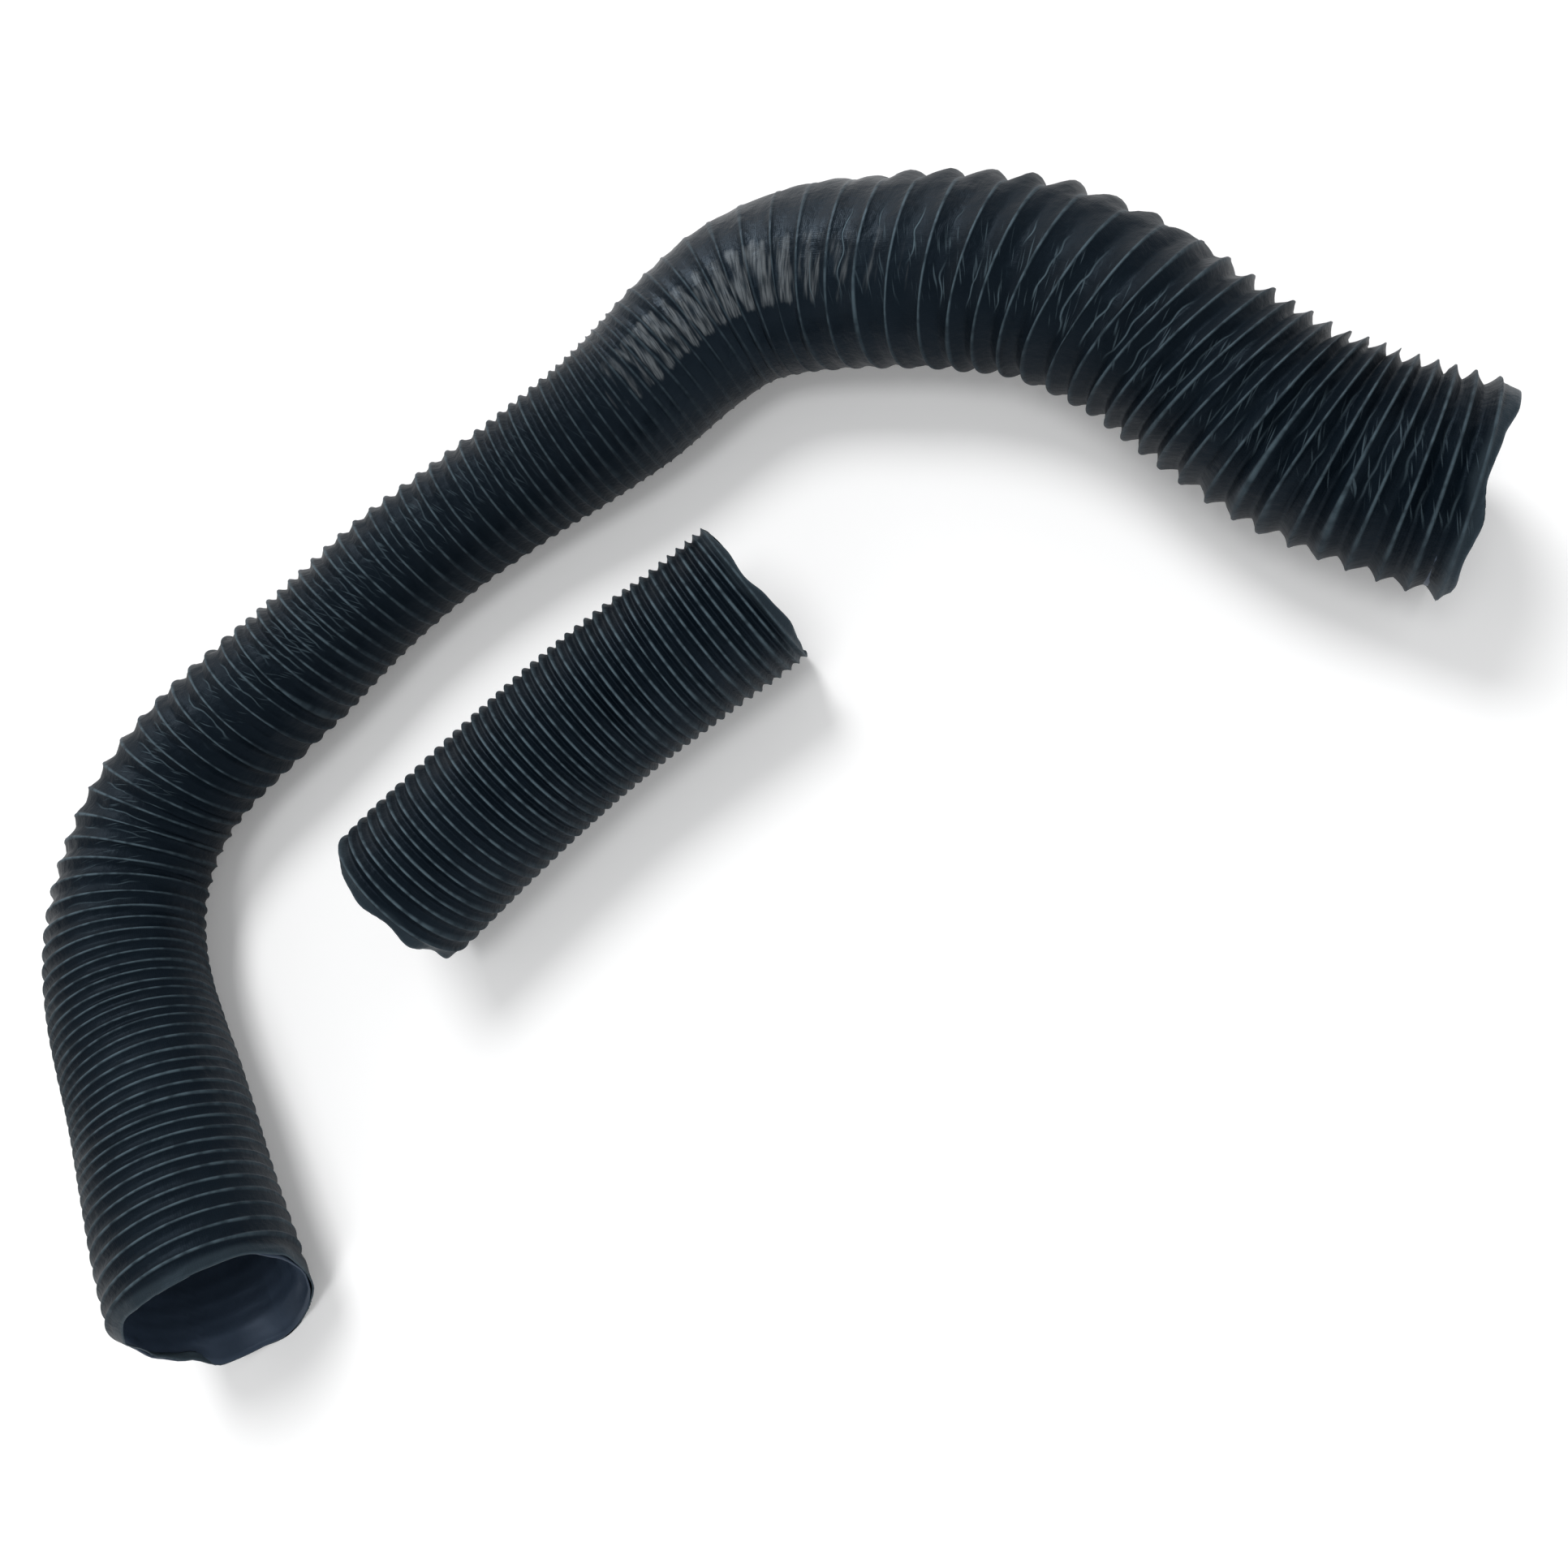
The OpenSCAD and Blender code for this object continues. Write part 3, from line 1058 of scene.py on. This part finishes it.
def grid_piece(
    name: str,
    points: Array,
    attributes: dict[str, Array],
    finish: bpy.types.Material,
    closed: bool = False,
) -> bpy.types.Object:
    """Makes a smooth mesh from rows of points round a tube.

    Args:
        name: The piece's name.
        points: Rows by columns by x, y and z, in mm. The last column meets the first.
        attributes: Values or vectors for the same rows and columns, by name.
        finish: The piece's material.
        closed: Whether the last row meets the first as well.

    Returns:
        The piece.
    """
    rows, columns = points.shape[:2]
    mesh = bpy.data.meshes.new(name)
    index = np.arange(rows * columns).reshape(rows, columns)
    if closed:
        index = np.vstack([index, index[:1]])
    corners = [index[:-1, :-1], index[:-1, 1:], index[1:, 1:], index[1:, :-1]]
    faces = np.stack(corners, axis=-1).reshape(-1, 4)
    mesh.from_pydata((points.reshape(-1, 3) * MM).tolist(), [], faces[:, ::-1].tolist())
    corner = np.empty(len(mesh.loops), dtype=np.int32)
    mesh.loops.foreach_get("vertex_index", corner)
    # Values belong to face corners, as they start again at the seam underneath
    for label, values in attributes.items():
        vector = values.ndim == 3
        made = mesh.attributes.new(label, "FLOAT_VECTOR" if vector else "FLOAT", "CORNER")
        spread = values.reshape(rows * columns, -1)[corner].astype(np.float32)
        made.data.foreach_set("vector" if vector else "value", spread.ravel())
    cleaned = bmesh.new()
    cleaned.from_mesh(mesh)
    weld = 0.02 * MM
    bmesh.ops.remove_doubles(cleaned, verts=cleaned.verts, dist=weld)
    bmesh.ops.dissolve_degenerate(cleaned, edges=cleaned.edges, dist=weld)
    cleaned.to_mesh(mesh)
    cleaned.free()
    mesh.shade_smooth()
    mesh.materials.append(finish)
    piece = bpy.data.objects.new(name, mesh)
    bpy.context.scene.collection.objects.link(piece)
    return piece


@dataclass(frozen=True)
class Finishes:
    """The three materials of a hose."""

    outer: bpy.types.Material
    inner: bpy.types.Material
    wire: bpy.types.Material


@dataclass(frozen=True)
class PlyBuilder:
    """Builds the three layers of one length between two places on it.

    Attributes:
        cloth: The length's shape.
        finishes: Its materials.
        columns: Faces round the outer ply.
        bore_columns: Faces round the inner ply.
        rows: Rows of a rib, as shares of its pitch from its crest, close where the cloth bends
            sharply.
        bore_row: Length of the inner ply's faces, mm.
        wire_steps: Faces along one turn of the wire.
        wire_sides: Faces round the wire.
        tail: How far a sprung end of the wire stands out along the hose and from it, mm.
    """

    cloth: HoseCloth
    finishes: Finishes
    columns: int = 120
    bore_columns: int = 72
    rows: tuple[float, ...] = (
        -0.5, -0.4, -0.3, -0.2, -0.12, -0.065, -0.025, 0.025, 0.065, 0.12, 0.2, 0.3, 0.4,
    )  # fmt: skip
    bore_row: float = 2.5
    wire_steps: int = 28
    wire_sides: int = 8
    tail: Point = (5.0, 1.2)

    def laid_flat(self, s: Array, around: Array) -> Array:
        """Returns the cloth's own place, mm along and across, at shares of the way round."""
        across = 2 * math.pi * self.cloth.size.crest_r * np.broadcast_to(around, s.shape)
        return np.stack([s, across, np.zeros_like(s)], axis=-1)

    def outer(self, name: str, first: int, last: int) -> bpy.types.Object:
        """Builds the outer ply from one valley to another.

        Args:
            name: The piece's name.
            first: The rib that it starts half a turn before.
            last: The rib that it ends half a turn after.

        Returns:
            The piece.
        """
        # One rib more than is wanted, which closes the seam and is then left off
        steps = [rib + row for rib in range(first, last + 2) for row in self.rows]
        steps.append(last + 1.5)
        around = np.arange(self.columns + 1) / self.columns
        angle = SEAM + 360 * around[None, :]
        turns = np.array(steps)[:, None] + angle / 360 - 1 / 8
        angle = np.broadcast_to(angle, turns.shape)
        points, edge = self.cloth.skin(turns, angle)
        ring = len(self.rows)
        points[:-ring, -1] = points[ring:, 0]
        points, edge, turns, angle = (grid[:-ring] for grid in (points, edge, turns, angle))
        s = self.cloth.route.along(turns)
        attributes = {"cloth_mm": self.laid_flat(s, around), "edge": edge}
        attributes |= self.cloth.wear(turns, s, angle)
        piece = grid_piece(name, points, attributes, self.finishes.outer)
        return piece

    def inner(
        self, name: str, start: float, end: float, mouths: tuple[bool, bool]
    ) -> bpy.types.Object:
        """Builds the inner ply between two distances along the axis.

        Args:
            name: The piece's name.
            start: Where it starts, mm.
            end: Where it ends, mm.
            mouths: Whether each end is a cut mouth.

        Returns:
            The piece.
        """
        around = np.arange(self.bore_columns + 1) / self.bore_columns
        angle = SEAM + 360 * around
        before, after = (
            (round_edge(cut.reach, angle) - round_edge(cut.bore_back, angle)) * mouth
            for cut, mouth in zip(self.cloth.cuts, mouths)
        )
        count = int((end - start) / self.bore_row)
        share = (np.arange(count + 1) / count)[:, None]
        s = (start - before) * (1 - share) + (end + after) * share
        angle = np.broadcast_to(angle, s.shape)
        outside = self.cloth.size.bore_rise
        inside = outside - self.cloth.size.ply
        faces = [self.cloth.bore(s, angle, outside), self.cloth.bore(s, angle, inside)[::-1]]
        place = self.laid_flat(s, around)
        place = np.concatenate([place, place[::-1]])
        attributes = {"cloth_mm": place}
        piece = grid_piece(
            name, np.concatenate(faces), attributes, self.finishes.inner, closed=True
        )
        return piece

    def wire(self, name: str, first: float, last: float, tail: bool = False) -> bpy.types.Object:
        """Builds the spring wire from one turn to another.

        Args:
            name: The piece's name.
            first: Turn that it starts at.
            last: Turn that it ends at.
            tail: Whether its first end springs out of the cut edge.

        Returns:
            The piece.
        """
        turns = np.linspace(first, last, int((last - first) * self.wire_steps) + 1)
        s, angle, rise = self.cloth.wire_path(turns)
        if tail:
            sprung = 1 - smooth(turns, first, first + 0.2)
            s = s - self.tail[0] * sprung
            rise = rise + self.tail[1] * sprung
        centre = self.cloth.point(s, angle, rise)
        ahead = np.gradient(centre, axis=0)
        ahead /= np.linalg.norm(ahead, axis=1, keepdims=True)
        out = centre - self.cloth.middle(s)
        out -= ahead * (out * ahead).sum(axis=1, keepdims=True)
        out /= np.linalg.norm(out, axis=1, keepdims=True)
        side = np.cross(ahead, out)
        turn = np.radians(np.arange(self.wire_sides + 1) * 360 / self.wire_sides)
        radius = np.full(len(turns), self.cloth.size.wire_r)
        # Both ends close to a tip
        radius[[0, -1]] = 0.02
        cosine, sine = (way(turn)[None, :, None] for way in (np.cos, np.sin))
        ring = out[:, None] * cosine + side[:, None] * sine
        points = centre[:, None] + radius[:, None, None] * ring
        points[..., 2] = np.maximum(points[..., 2], 0.05)
        long = np.concatenate([[0], np.cumsum(np.linalg.norm(np.diff(centre, axis=0), axis=1))])
        place = np.zeros(points.shape)
        place[..., 0] = long[:, None]
        place[..., 1] = (turn * self.cloth.size.wire_r)[None, :]
        piece = grid_piece(name, points, {"cloth_mm": place}, self.finishes.wire)
        return piece


# ---- The two lengths ----------------------------------------------------------------------------


class Layer(Enum):
    """A hose's layers, in the order they are built, with what the solids call each."""

    OUTER = "cover"
    INNER = "liner"
    WIRE = "wire"


@dataclass
class Hose(ABC):
    """A cut length of hose: its sizes, its materials and what builds its pieces.

    Attributes:
        size: Sizes that both lengths share.
        finishes: Its materials.
        start: Where its axis starts on the floor, mm.
        heading: The axis's first heading from +X, degrees.
        stretches: Its legs and bends.
        wander: How far it strays to the left of them, mm.
        ribs: The shape of its ribs.
        cuts: Its near and far cut edges.
        folds: Folds of its inner ply at the near mouth.
        lay_seed: Seed of its uneven pitch.
        cloth_seed: Seed of its uneven cloth.
        spare_ribs: Ribs past each end, out of which the cloth turns in at a cut.
        wire_end: Turns between the wire's end and the last crest.
    """

    size: HoseSize
    finishes: Finishes
    start: Point
    heading: float
    stretches: tuple[Stretch, ...]
    wander: Lateral
    ribs: RibShape
    cuts: tuple[CutEdge, CutEdge]
    folds: tuple[Fold, ...]
    lay_seed: int
    cloth_seed: int
    spare_ribs: int = 4
    wire_end: float = 0.1

    def __post_init__(self) -> None:
        """Works out the axis, the cloth's shape and what builds its layers."""
        self.route = Route(self.start, self.heading, self.stretches, self.wander, self.lay_seed)
        self.cloth = HoseCloth(
            self.route, self.size, self.ribs, self.cuts, self.folds, self.cloth_seed
        )
        self.builder = PlyBuilder(self.cloth, self.finishes)

    @abstractmethod
    def build(self) -> list[bpy.types.Object]:
        """Returns:
            Its pieces.
        """


# Places along the long length, mm, at which its line and section are given
LONG_AT = tuple(range(6, 1053, 29))


@dataclass
class LongHose(Hose):
    """The long length, in two halves that meet in a valley of the middle leg.

    Attributes:
        split_rib: The halves meet half a turn after this rib.
        cord_step: Distance between two points of a half's path, mm.
        exit_rise: How far over the axis a half leaves the other one, in metres. Not used.
    """

    start: Point = (-296.42, -108.70)
    heading: float = 88.6
    stretches: tuple[Stretch, ...] = (
        Stretch(121.0, 0.0, ((6, 7.3), (12, 6.0)), (5.0, 0.0)),
        Stretch(244.52, -93.4, ((7, 6.4), (5, 8.4), (5, 10.6), (9, 11.7))),
        Stretch(255.0, 0.0, ((8, 7.4), (10, 9.8), (7, 6.9), (9, 5.3))),
        Stretch(223.47, -77.6, ((4, 9.6), (3, 11.8), (9, 16.0))),
        Stretch(186.0, 0.0, ((2, 15.5), (1, 12.5), (9, 10.3), (5, 8.9)), (0.0, 5.0)),
    )
    # fmt: off
    wander: Lateral = Lateral(
        LONG_AT,
        (-1.0, -1.0, -2.4, -4.1, -4.5, -2.4, 2.9, 7.9, 10.8, 8.9, 2.1, -4.9, -6.7, -1.9, 4.2, 7.7,
         8.0, 6.0, 3.1, -1.1, -4.3, -3.2, 1.7, 5.9, 3.4, -2.2, -5.2, -4.4, -1.6, 1.4, 2.3, -0.5,
         -4.2, -6.1, -3.4, 2.6, 8.5),
    )
    ribs: RibShape = RibShape(
        left=Lateral(
            (0, 60, 110, 150, 190, 400, 560, 600, 640, 700, 740, 780, 845, 862, 884, 930),
            (0.4, 0.6, 1.0, 2.4, 3.6, 4.0, 2.8, 1.0, 0.2, -1.2, -5.6, -8.5, -8.5, -4.5, 3.6, 4.4),
        ),
        top=Lateral(
            (0, 120, 250, 400, 540, 620, 720, 780, 850, 1030),
            (1.2, 1.3, 1.8, 2.1, 1.9, 0.9, 0.9, 2.2, 3.3, 3.8),
        ),
        right=Lateral(
            (0, 130, 180, 250, 320, 380, 440, 480, 540, 560, 620, 700, 740, 780, 820, 900),
            (0.1, 0.2, 0.8, 1.6, 2.6, 1.4, 0.4, 0.5, 1.0, 0.4, 0.1, 0.2, 0.9, 2.4, 4.2, 4.6),
        ),
        under=Lateral(
            (0, 140, 240, 380, 540, 600, 720, 800, 1030),
            (0.2, 0.3, 1.4, 1.0, 0.8, 0.2, 0.3, 1.6, 1.8),
        ),
        crease=Lateral(
            (180, 240, 330, 420, 520, 560, 690, 730, 860, 920, 1030),
            (0.0, 0.6, 0.7, 0.6, 0.4, 0.0, 0.0, 1.0, 1.0, 0.5, 0.35),
        ),
        crumple=Lateral(
            (0, 160, 260, 360, 520, 620, 720, 800, 1030),
            (0.05, 0.08, 0.3, 0.3, 0.22, 0.12, 0.16, 0.3, 0.32),
        ),
        taut=Lateral((570, 610, 700, 760, 810), (0.0, 1.0, 1.0, 0.55, 0.0)),
        rub=Lateral(
            (0, 180, 400, 540, 600, 700, 760, 900, 1030),
            (0.7, 0.75, 0.75, 0.6, 0.3, 0.35, 0.7, 0.6, 0.55),
        ),
        width=Lateral(
            LONG_AT,
            (1.06, 1.05, 1.03, 1.02, 1.0, 1.0, 0.99, 0.98, 0.96, 0.96, 0.97, 0.98, 0.97, 0.93, 0.9,
             0.89, 0.88, 0.88, 0.88, 0.92, 0.96, 1.0, 1.05, 1.12, 1.19, 1.2, 1.18, 1.15, 1.12,
             1.08, 1.05, 1.04, 1.04, 1.05, 1.06, 1.04, 1.04),
        ),
        height=Lateral(
            LONG_AT,
            (1.05, 1.05, 1.03, 1.02, 1.0, 1.0, 0.99, 0.98, 0.97, 0.97, 0.97, 0.97, 0.95, 0.92, 0.9,
             0.89, 0.88, 0.88, 0.89, 0.93, 0.97, 1.01, 1.04, 1.05, 1.06, 1.06, 1.06, 1.06, 1.06,
             1.05, 1.05, 1.03, 1.04, 1.05, 1.05, 1.05, 1.05),
        ),
        lean=Lateral(
            (0, 60, 200, 700, 780, 820, 850, 900, 940, 970, 1000, 1030),
            (6.0, 4.0, 0.0, 0.0, 6.0, 12.0, 17.0, 24.0, 22.0, 15.0, 9.0, 5.0),
        ),
        skew=Lateral(
            (700, 760, 820, 850, 900, 940, 970, 1000, 1015, 1030),
            (0.0, -3.3, -5.8, -5.2, -4.0, -2.2, 1.2, 6.0, 9.5, 14.0),
        ),
    )
    cuts: tuple[CutEdge, CutEdge] = (
        CutEdge(
            (15.0, 13.5, 13.0, 8.0, 5.5, 3.0, 3.0, 0.5, 2.5, 3.5, 2.0, 1.5, 3.5, 6.0, 10.5, 13.5),
            (0.8, 1.8, 1.6, 3.6, 3.8, 4.4, 2.8, 3.2, 2.0, 1.2, 1.4, 0.5, 0.0, 0.6, 0.3, 1.2),
            (0.2, 0.2, 0.2, 0.4, 0.5, 1.0, 2.0, 1.5, 2.0, 2.0, 2.0, 1.0, 0.3, 0.2, 0.2, 0.2),
        ),
        CutEdge(
            (-2.0, -4.0, -3.5, 0.0, 2.0, 2.5, 2.5, 2.5, 0.0, -1.0, 2.0, 1.0, 2.0, -1.0, -2.0, -1.0),
            (1.5, 2.0, 2.5, 2.0, 2.4, 3.2, 1.8, 1.2, 2.4, 1.8, 1.0, 1.5, 2.4, 2.6, 2.0, 1.2),
        ),
    )
    # fmt: on
    folds: tuple[Fold, ...] = (Fold(215.0, 0.35, 2.4, 70.0), Fold(245.0, -0.2, 1.6, 55.0))
    lay_seed: int = 11
    cloth_seed: int = 5
    split_rib: int = 61
    cord_step: float = 5.0
    exit_rise: float = 0.012

    def build(self) -> list[bpy.types.Object]:
        """Builds both halves, hides the solids that they replace and works out each half's path.

        Returns:
            Their pieces.
        """
        route, builder = self.route, self.builder
        split = float(route.along(self.split_rib + 0.5))
        seam = self.split_rib + 5 / 8
        near = [
            builder.outer("long_near_half_outer_ply", -self.spare_ribs, self.split_rib),
            builder.inner("long_near_half_inner_ply", 0.0, split, (True, False)),
            builder.wire("long_near_half_spring_wire", self.wire_end, seam),
        ]
        last = route.ribs + self.spare_ribs
        far = [
            builder.outer("long_far_half_outer_ply", self.split_rib + 1, last),
            builder.inner("long_far_half_inner_ply", split, route.length, (False, True)),
            builder.wire("long_far_half_spring_wire", seam, route.ribs - self.wire_end),
        ]
        bends = self.bends()
        for piece in near:
            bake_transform(piece)
        for piece in far:
            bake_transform(piece)
        halves = ((near, ("near", "bend_1", "middle")), (far, ("bend_2", "far")))
        for pieces, parts in halves:
            for piece, layer in zip(pieces, Layer):
                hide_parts(*(f"long_{part}_{layer.value}" for part in parts))
        self.declare(near, 0.0, split)
        self.declare(far, split, route.length)
        return near + far

    def bends(self) -> list[tuple[Spot, Spot]]:
        """Finds the two bends.

        Returns:
            Where each of them starts and ends, in metres.
        """
        ends = np.cumsum([part.length for part in self.stretches])
        height = self.size.crest_r * MM
        spots = [
            (x * MM, y * MM, height) for x, y, _ in np.stack(self.route.axis(ends[:4]), axis=-1)
        ]
        return [(spots[0], spots[1]), (spots[2], spots[3])]

    def declare(self, pieces: list[bpy.types.Object], start: float, end: float) -> None:
        """Works out the path of one half's axis, in metres; nothing uses it.

        Args:
            pieces: Its outer ply, inner ply and wire. Not used.
            start: Where it starts along the axis, mm.
            end: Where it ends, mm.
        """
        steps = np.linspace(start, end, int((end - start) / self.cord_step) + 1)
        path = [tuple(float(v) * MM for v in spot) for spot in self.cloth.middle(steps)]


@dataclass
class ShortHose(Hose):
    """The short length; on the real hose its middle draws out like a concertina.

    Attributes:
        draw_share: Share of its length that draws out. Not used.
        tail_start: Turn at which the wire's sprung end starts.
    """

    start: Point = (-135.0, -7.0)
    heading: float = 0.0
    stretches: tuple[Stretch, ...] = (
        Stretch(74.8, 0.0, ((5, 5.6), (7, 5.2)), (3.0, 0.0)),
        Stretch(70.4, 0.0, ((14, 5.0),)),
        Stretch(74.8, 0.0, ((14, 4.8),), (0.0, 3.0)),
    )
    wander: Lateral = Lateral(
        (0, 35, 65, 95, 125, 155, 185, 220), (-2.6, 0.2, 2.4, 3.9, 3.7, 2.1, -1.2, -3.8)
    )
    # A value given at one place holds all along
    ribs: RibShape = RibShape(
        left=Lateral((0,), (2.3,)),
        top=Lateral((0,), (2.2,)),
        right=Lateral((0,), (1.7,)),
        under=Lateral((0,), (1.6,)),
        crease=Lateral((0,), (0.0,)),
        crumple=Lateral((0,), (0.06,)),
        taut=Lateral((0,), (0.3,)),
        rub=Lateral((0,), (0.75,)),
        width=Lateral((0, 35, 95, 155, 220), (1.02, 1.01, 0.99, 0.99, 1.0)),
        height=Lateral((0, 35, 95, 155, 220), (1.02, 1.01, 0.99, 0.99, 1.0)),
        lean=Lateral((0,), (0.0,)),
        skew=Lateral((0,), (0.0,)),
    )
    # fmt: off
    cuts: tuple[CutEdge, CutEdge] = (
        CutEdge(
            (2.0, 3.5, 4.5, 4.0, -2.5, -1.5, 0.5, -1.0, 0.5, 1.0, -1.0, 0.5, -1.0, 0.5, -1.0, 0.0),
            (1.4, 2.4, 1.0, 1.6, 2.0, 1.0, 1.8, 2.6, 1.6, 1.2, 2.0, 1.0, 2.2, 1.0, 1.8, 1.4),
            (3.0, 4.0, 4.0, 4.0) + (2.0,) * 12,
        ),
        CutEdge(
            (-2.0, -1.0, -2.0, -1.0, 0.0, -1.5, -3.0, -1.0, 0.5, -0.5, 1.5, 2.5, 0.5, -1.0, 0.0,
             -1.0),
            (1.6, 2.2, 1.2, 2.4, 3.0, 2.0, 1.4, 2.0, 2.6, 1.8, 1.2, 1.0, 2.4, 1.6, 2.0, 1.4),
        ),
    )
    # fmt: on
    folds: tuple[Fold, ...] = ()
    lay_seed: int = 23
    cloth_seed: int = 9
    draw_share: float = 0.32
    tail_start: float = -0.35

    def build(self) -> list[bpy.types.Object]:
        """Builds its three pieces.

        Returns:
            The pieces.
        """
        route, builder = self.route, self.builder
        wire_last = route.ribs - self.wire_end
        pieces = [
            builder.outer("short_outer_ply", -self.spare_ribs, route.ribs + self.spare_ribs),
            builder.inner("short_inner_ply", 0.0, route.length, (True, True)),
            builder.wire("short_spring_wire", self.tail_start, wire_last, tail=True),
        ]
        for piece, layer in zip(pieces, Layer):
            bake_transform(piece)
            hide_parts(*(f"short_{part}_{layer.value}" for part in ("near", "draw", "far")))
        return pieces


# ---- Studio -------------------------------------------------------------------------------------


@dataclass(frozen=True)
class Studio:
    """Camera, lamps, world and floor, in metres and degrees.

    Attributes:
        eye: Where the camera stands.
        yaw: How far it looks to the left of +Y.
        down: How far it looks down.
        roll: How far it is rolled.
        lens_mm: Focal length on a 36 mm wide sensor.
        lamps: The lamps' names, strengths, spreads and directions.
        sky: Heights in the surround, from the horizon up, and their colours.
        floor_reach: How far the floor reaches from the middle.
        floor_drop: How far it lies under the hose.
    """

    eye: Spot = (0.0766, -0.3246, 0.4515)
    yaw: float = 8.998
    down: float = 60.859
    roll: float = -48.206
    lens_mm: float = 26.087
    lamps: tuple[tuple[str, float, float, Spot], ...] = (
        ("back_lamp", 1.6, 24.0, (0.14, 0.58, 0.8)),
        ("front_lamp", 0.6, 26.0, (-0.16, -0.16, 0.97)),
    )
    sky: tuple[tuple[float, tuple[float, ...]], ...] = (
        (0.0, (1.2, 1.2, 1.2, 1.0)),
        (0.4, (0.95, 0.95, 0.95, 1.0)),
        (0.8, (0.2, 0.205, 0.21, 1.0)),
    )
    floor_reach: float = 6.0
    floor_drop: float = 0.0002

    def build(self) -> None:
        """Makes the camera, then the lamps, world and floor."""
        self.set_camera()
        self.hang_lamps()
        self.light_world()
        self.lay_floor()

    def set_camera(self) -> None:
        """Makes the camera and makes it the scene's."""
        yaw, down, roll = (math.radians(a) for a in (self.yaw, self.down, self.roll))
        level = math.cos(down)
        forward = Vector((-math.sin(yaw) * level, math.cos(yaw) * level, -math.sin(down)))
        right = Vector((math.cos(yaw), math.sin(yaw), 0.0))
        up = right.cross(forward)
        picture_right = math.cos(roll) * right + math.sin(roll) * up
        picture_up = -math.sin(roll) * right + math.cos(roll) * up
        data = bpy.data.cameras.new("camera")
        data.lens = self.lens_mm
        data.sensor_width = 36.0
        data.clip_start = 0.01
        made = bpy.data.objects.new("camera", data)
        turned = Matrix((picture_right, picture_up, -forward)).transposed().to_4x4()
        made.matrix_world = Matrix.Translation(self.eye) @ turned
        bpy.context.scene.collection.objects.link(made)
        bpy.context.scene.camera = made

    def hang_lamps(self) -> None:
        """Makes two soft lamps, one high behind the hose and one high before it."""
        for name, energy, spread, toward in self.lamps:
            data = bpy.data.lights.new(name, "SUN")
            data.energy = energy
            data.angle = math.radians(spread)
            made = bpy.data.objects.new(name, data)
            made.rotation_euler = Vector(toward).to_track_quat("Z", "Y").to_euler()
            bpy.context.scene.collection.objects.link(made)

    def light_world(self) -> None:
        """Makes an even pale surround, brighter near the horizon than overhead."""
        made = bpy.data.worlds.new("studio")
        made.use_nodes = True
        made.node_tree.nodes.clear()
        add = partial(add_node, made.node_tree)
        at = add("TexCoord").outputs["Generated"]
        ramp = add("ValToRGB", {}, {"Fac": add("SeparateXYZ", {}, {"Vector": at}).outputs["Z"]})
        ramp.color_ramp.elements.new(self.sky[1][0])
        for stop, (place, colour) in zip(ramp.color_ramp.elements, self.sky):
            stop.position, stop.color = place, colour
        light = add("Background", {"Strength": 1.0}, {"Color": ramp})
        add("OutputWorld", {}, {"Surface": light})
        bpy.context.scene.world = made

    def lay_floor(self) -> None:
        """Makes the floor."""
        mesh = bpy.data.meshes.new("floor")
        turns = ((-1, -1), (1, -1), (1, 1), (-1, 1))
        reach = self.floor_reach
        corners = [(x * reach, y * reach, -self.floor_drop) for x, y in turns]
        mesh.from_pydata(corners, [], [(0, 1, 2, 3)])
        mesh.materials.append(PaleFloor().build())
        made = bpy.data.objects.new("floor", mesh)
        bpy.context.scene.collection.objects.link(made)


def main() -> None:
    logging.basicConfig(level=logging.INFO, format="%(name)s: %(message)s")
    bpy.context.scene.view_settings.view_transform = "Standard"
    Studio().build()
    finishes = Finishes(CoatedCloth().build(), InnerPlyCloth().build(), SpringSteel().build())
    size = HoseSize()
    for hose in (LongHose, ShortHose):
        for piece in hose(size, finishes).build():
            log.info("%s: %d faces", piece.name, len(piece.data.polygons))


if __name__ == "__main__":
    main()
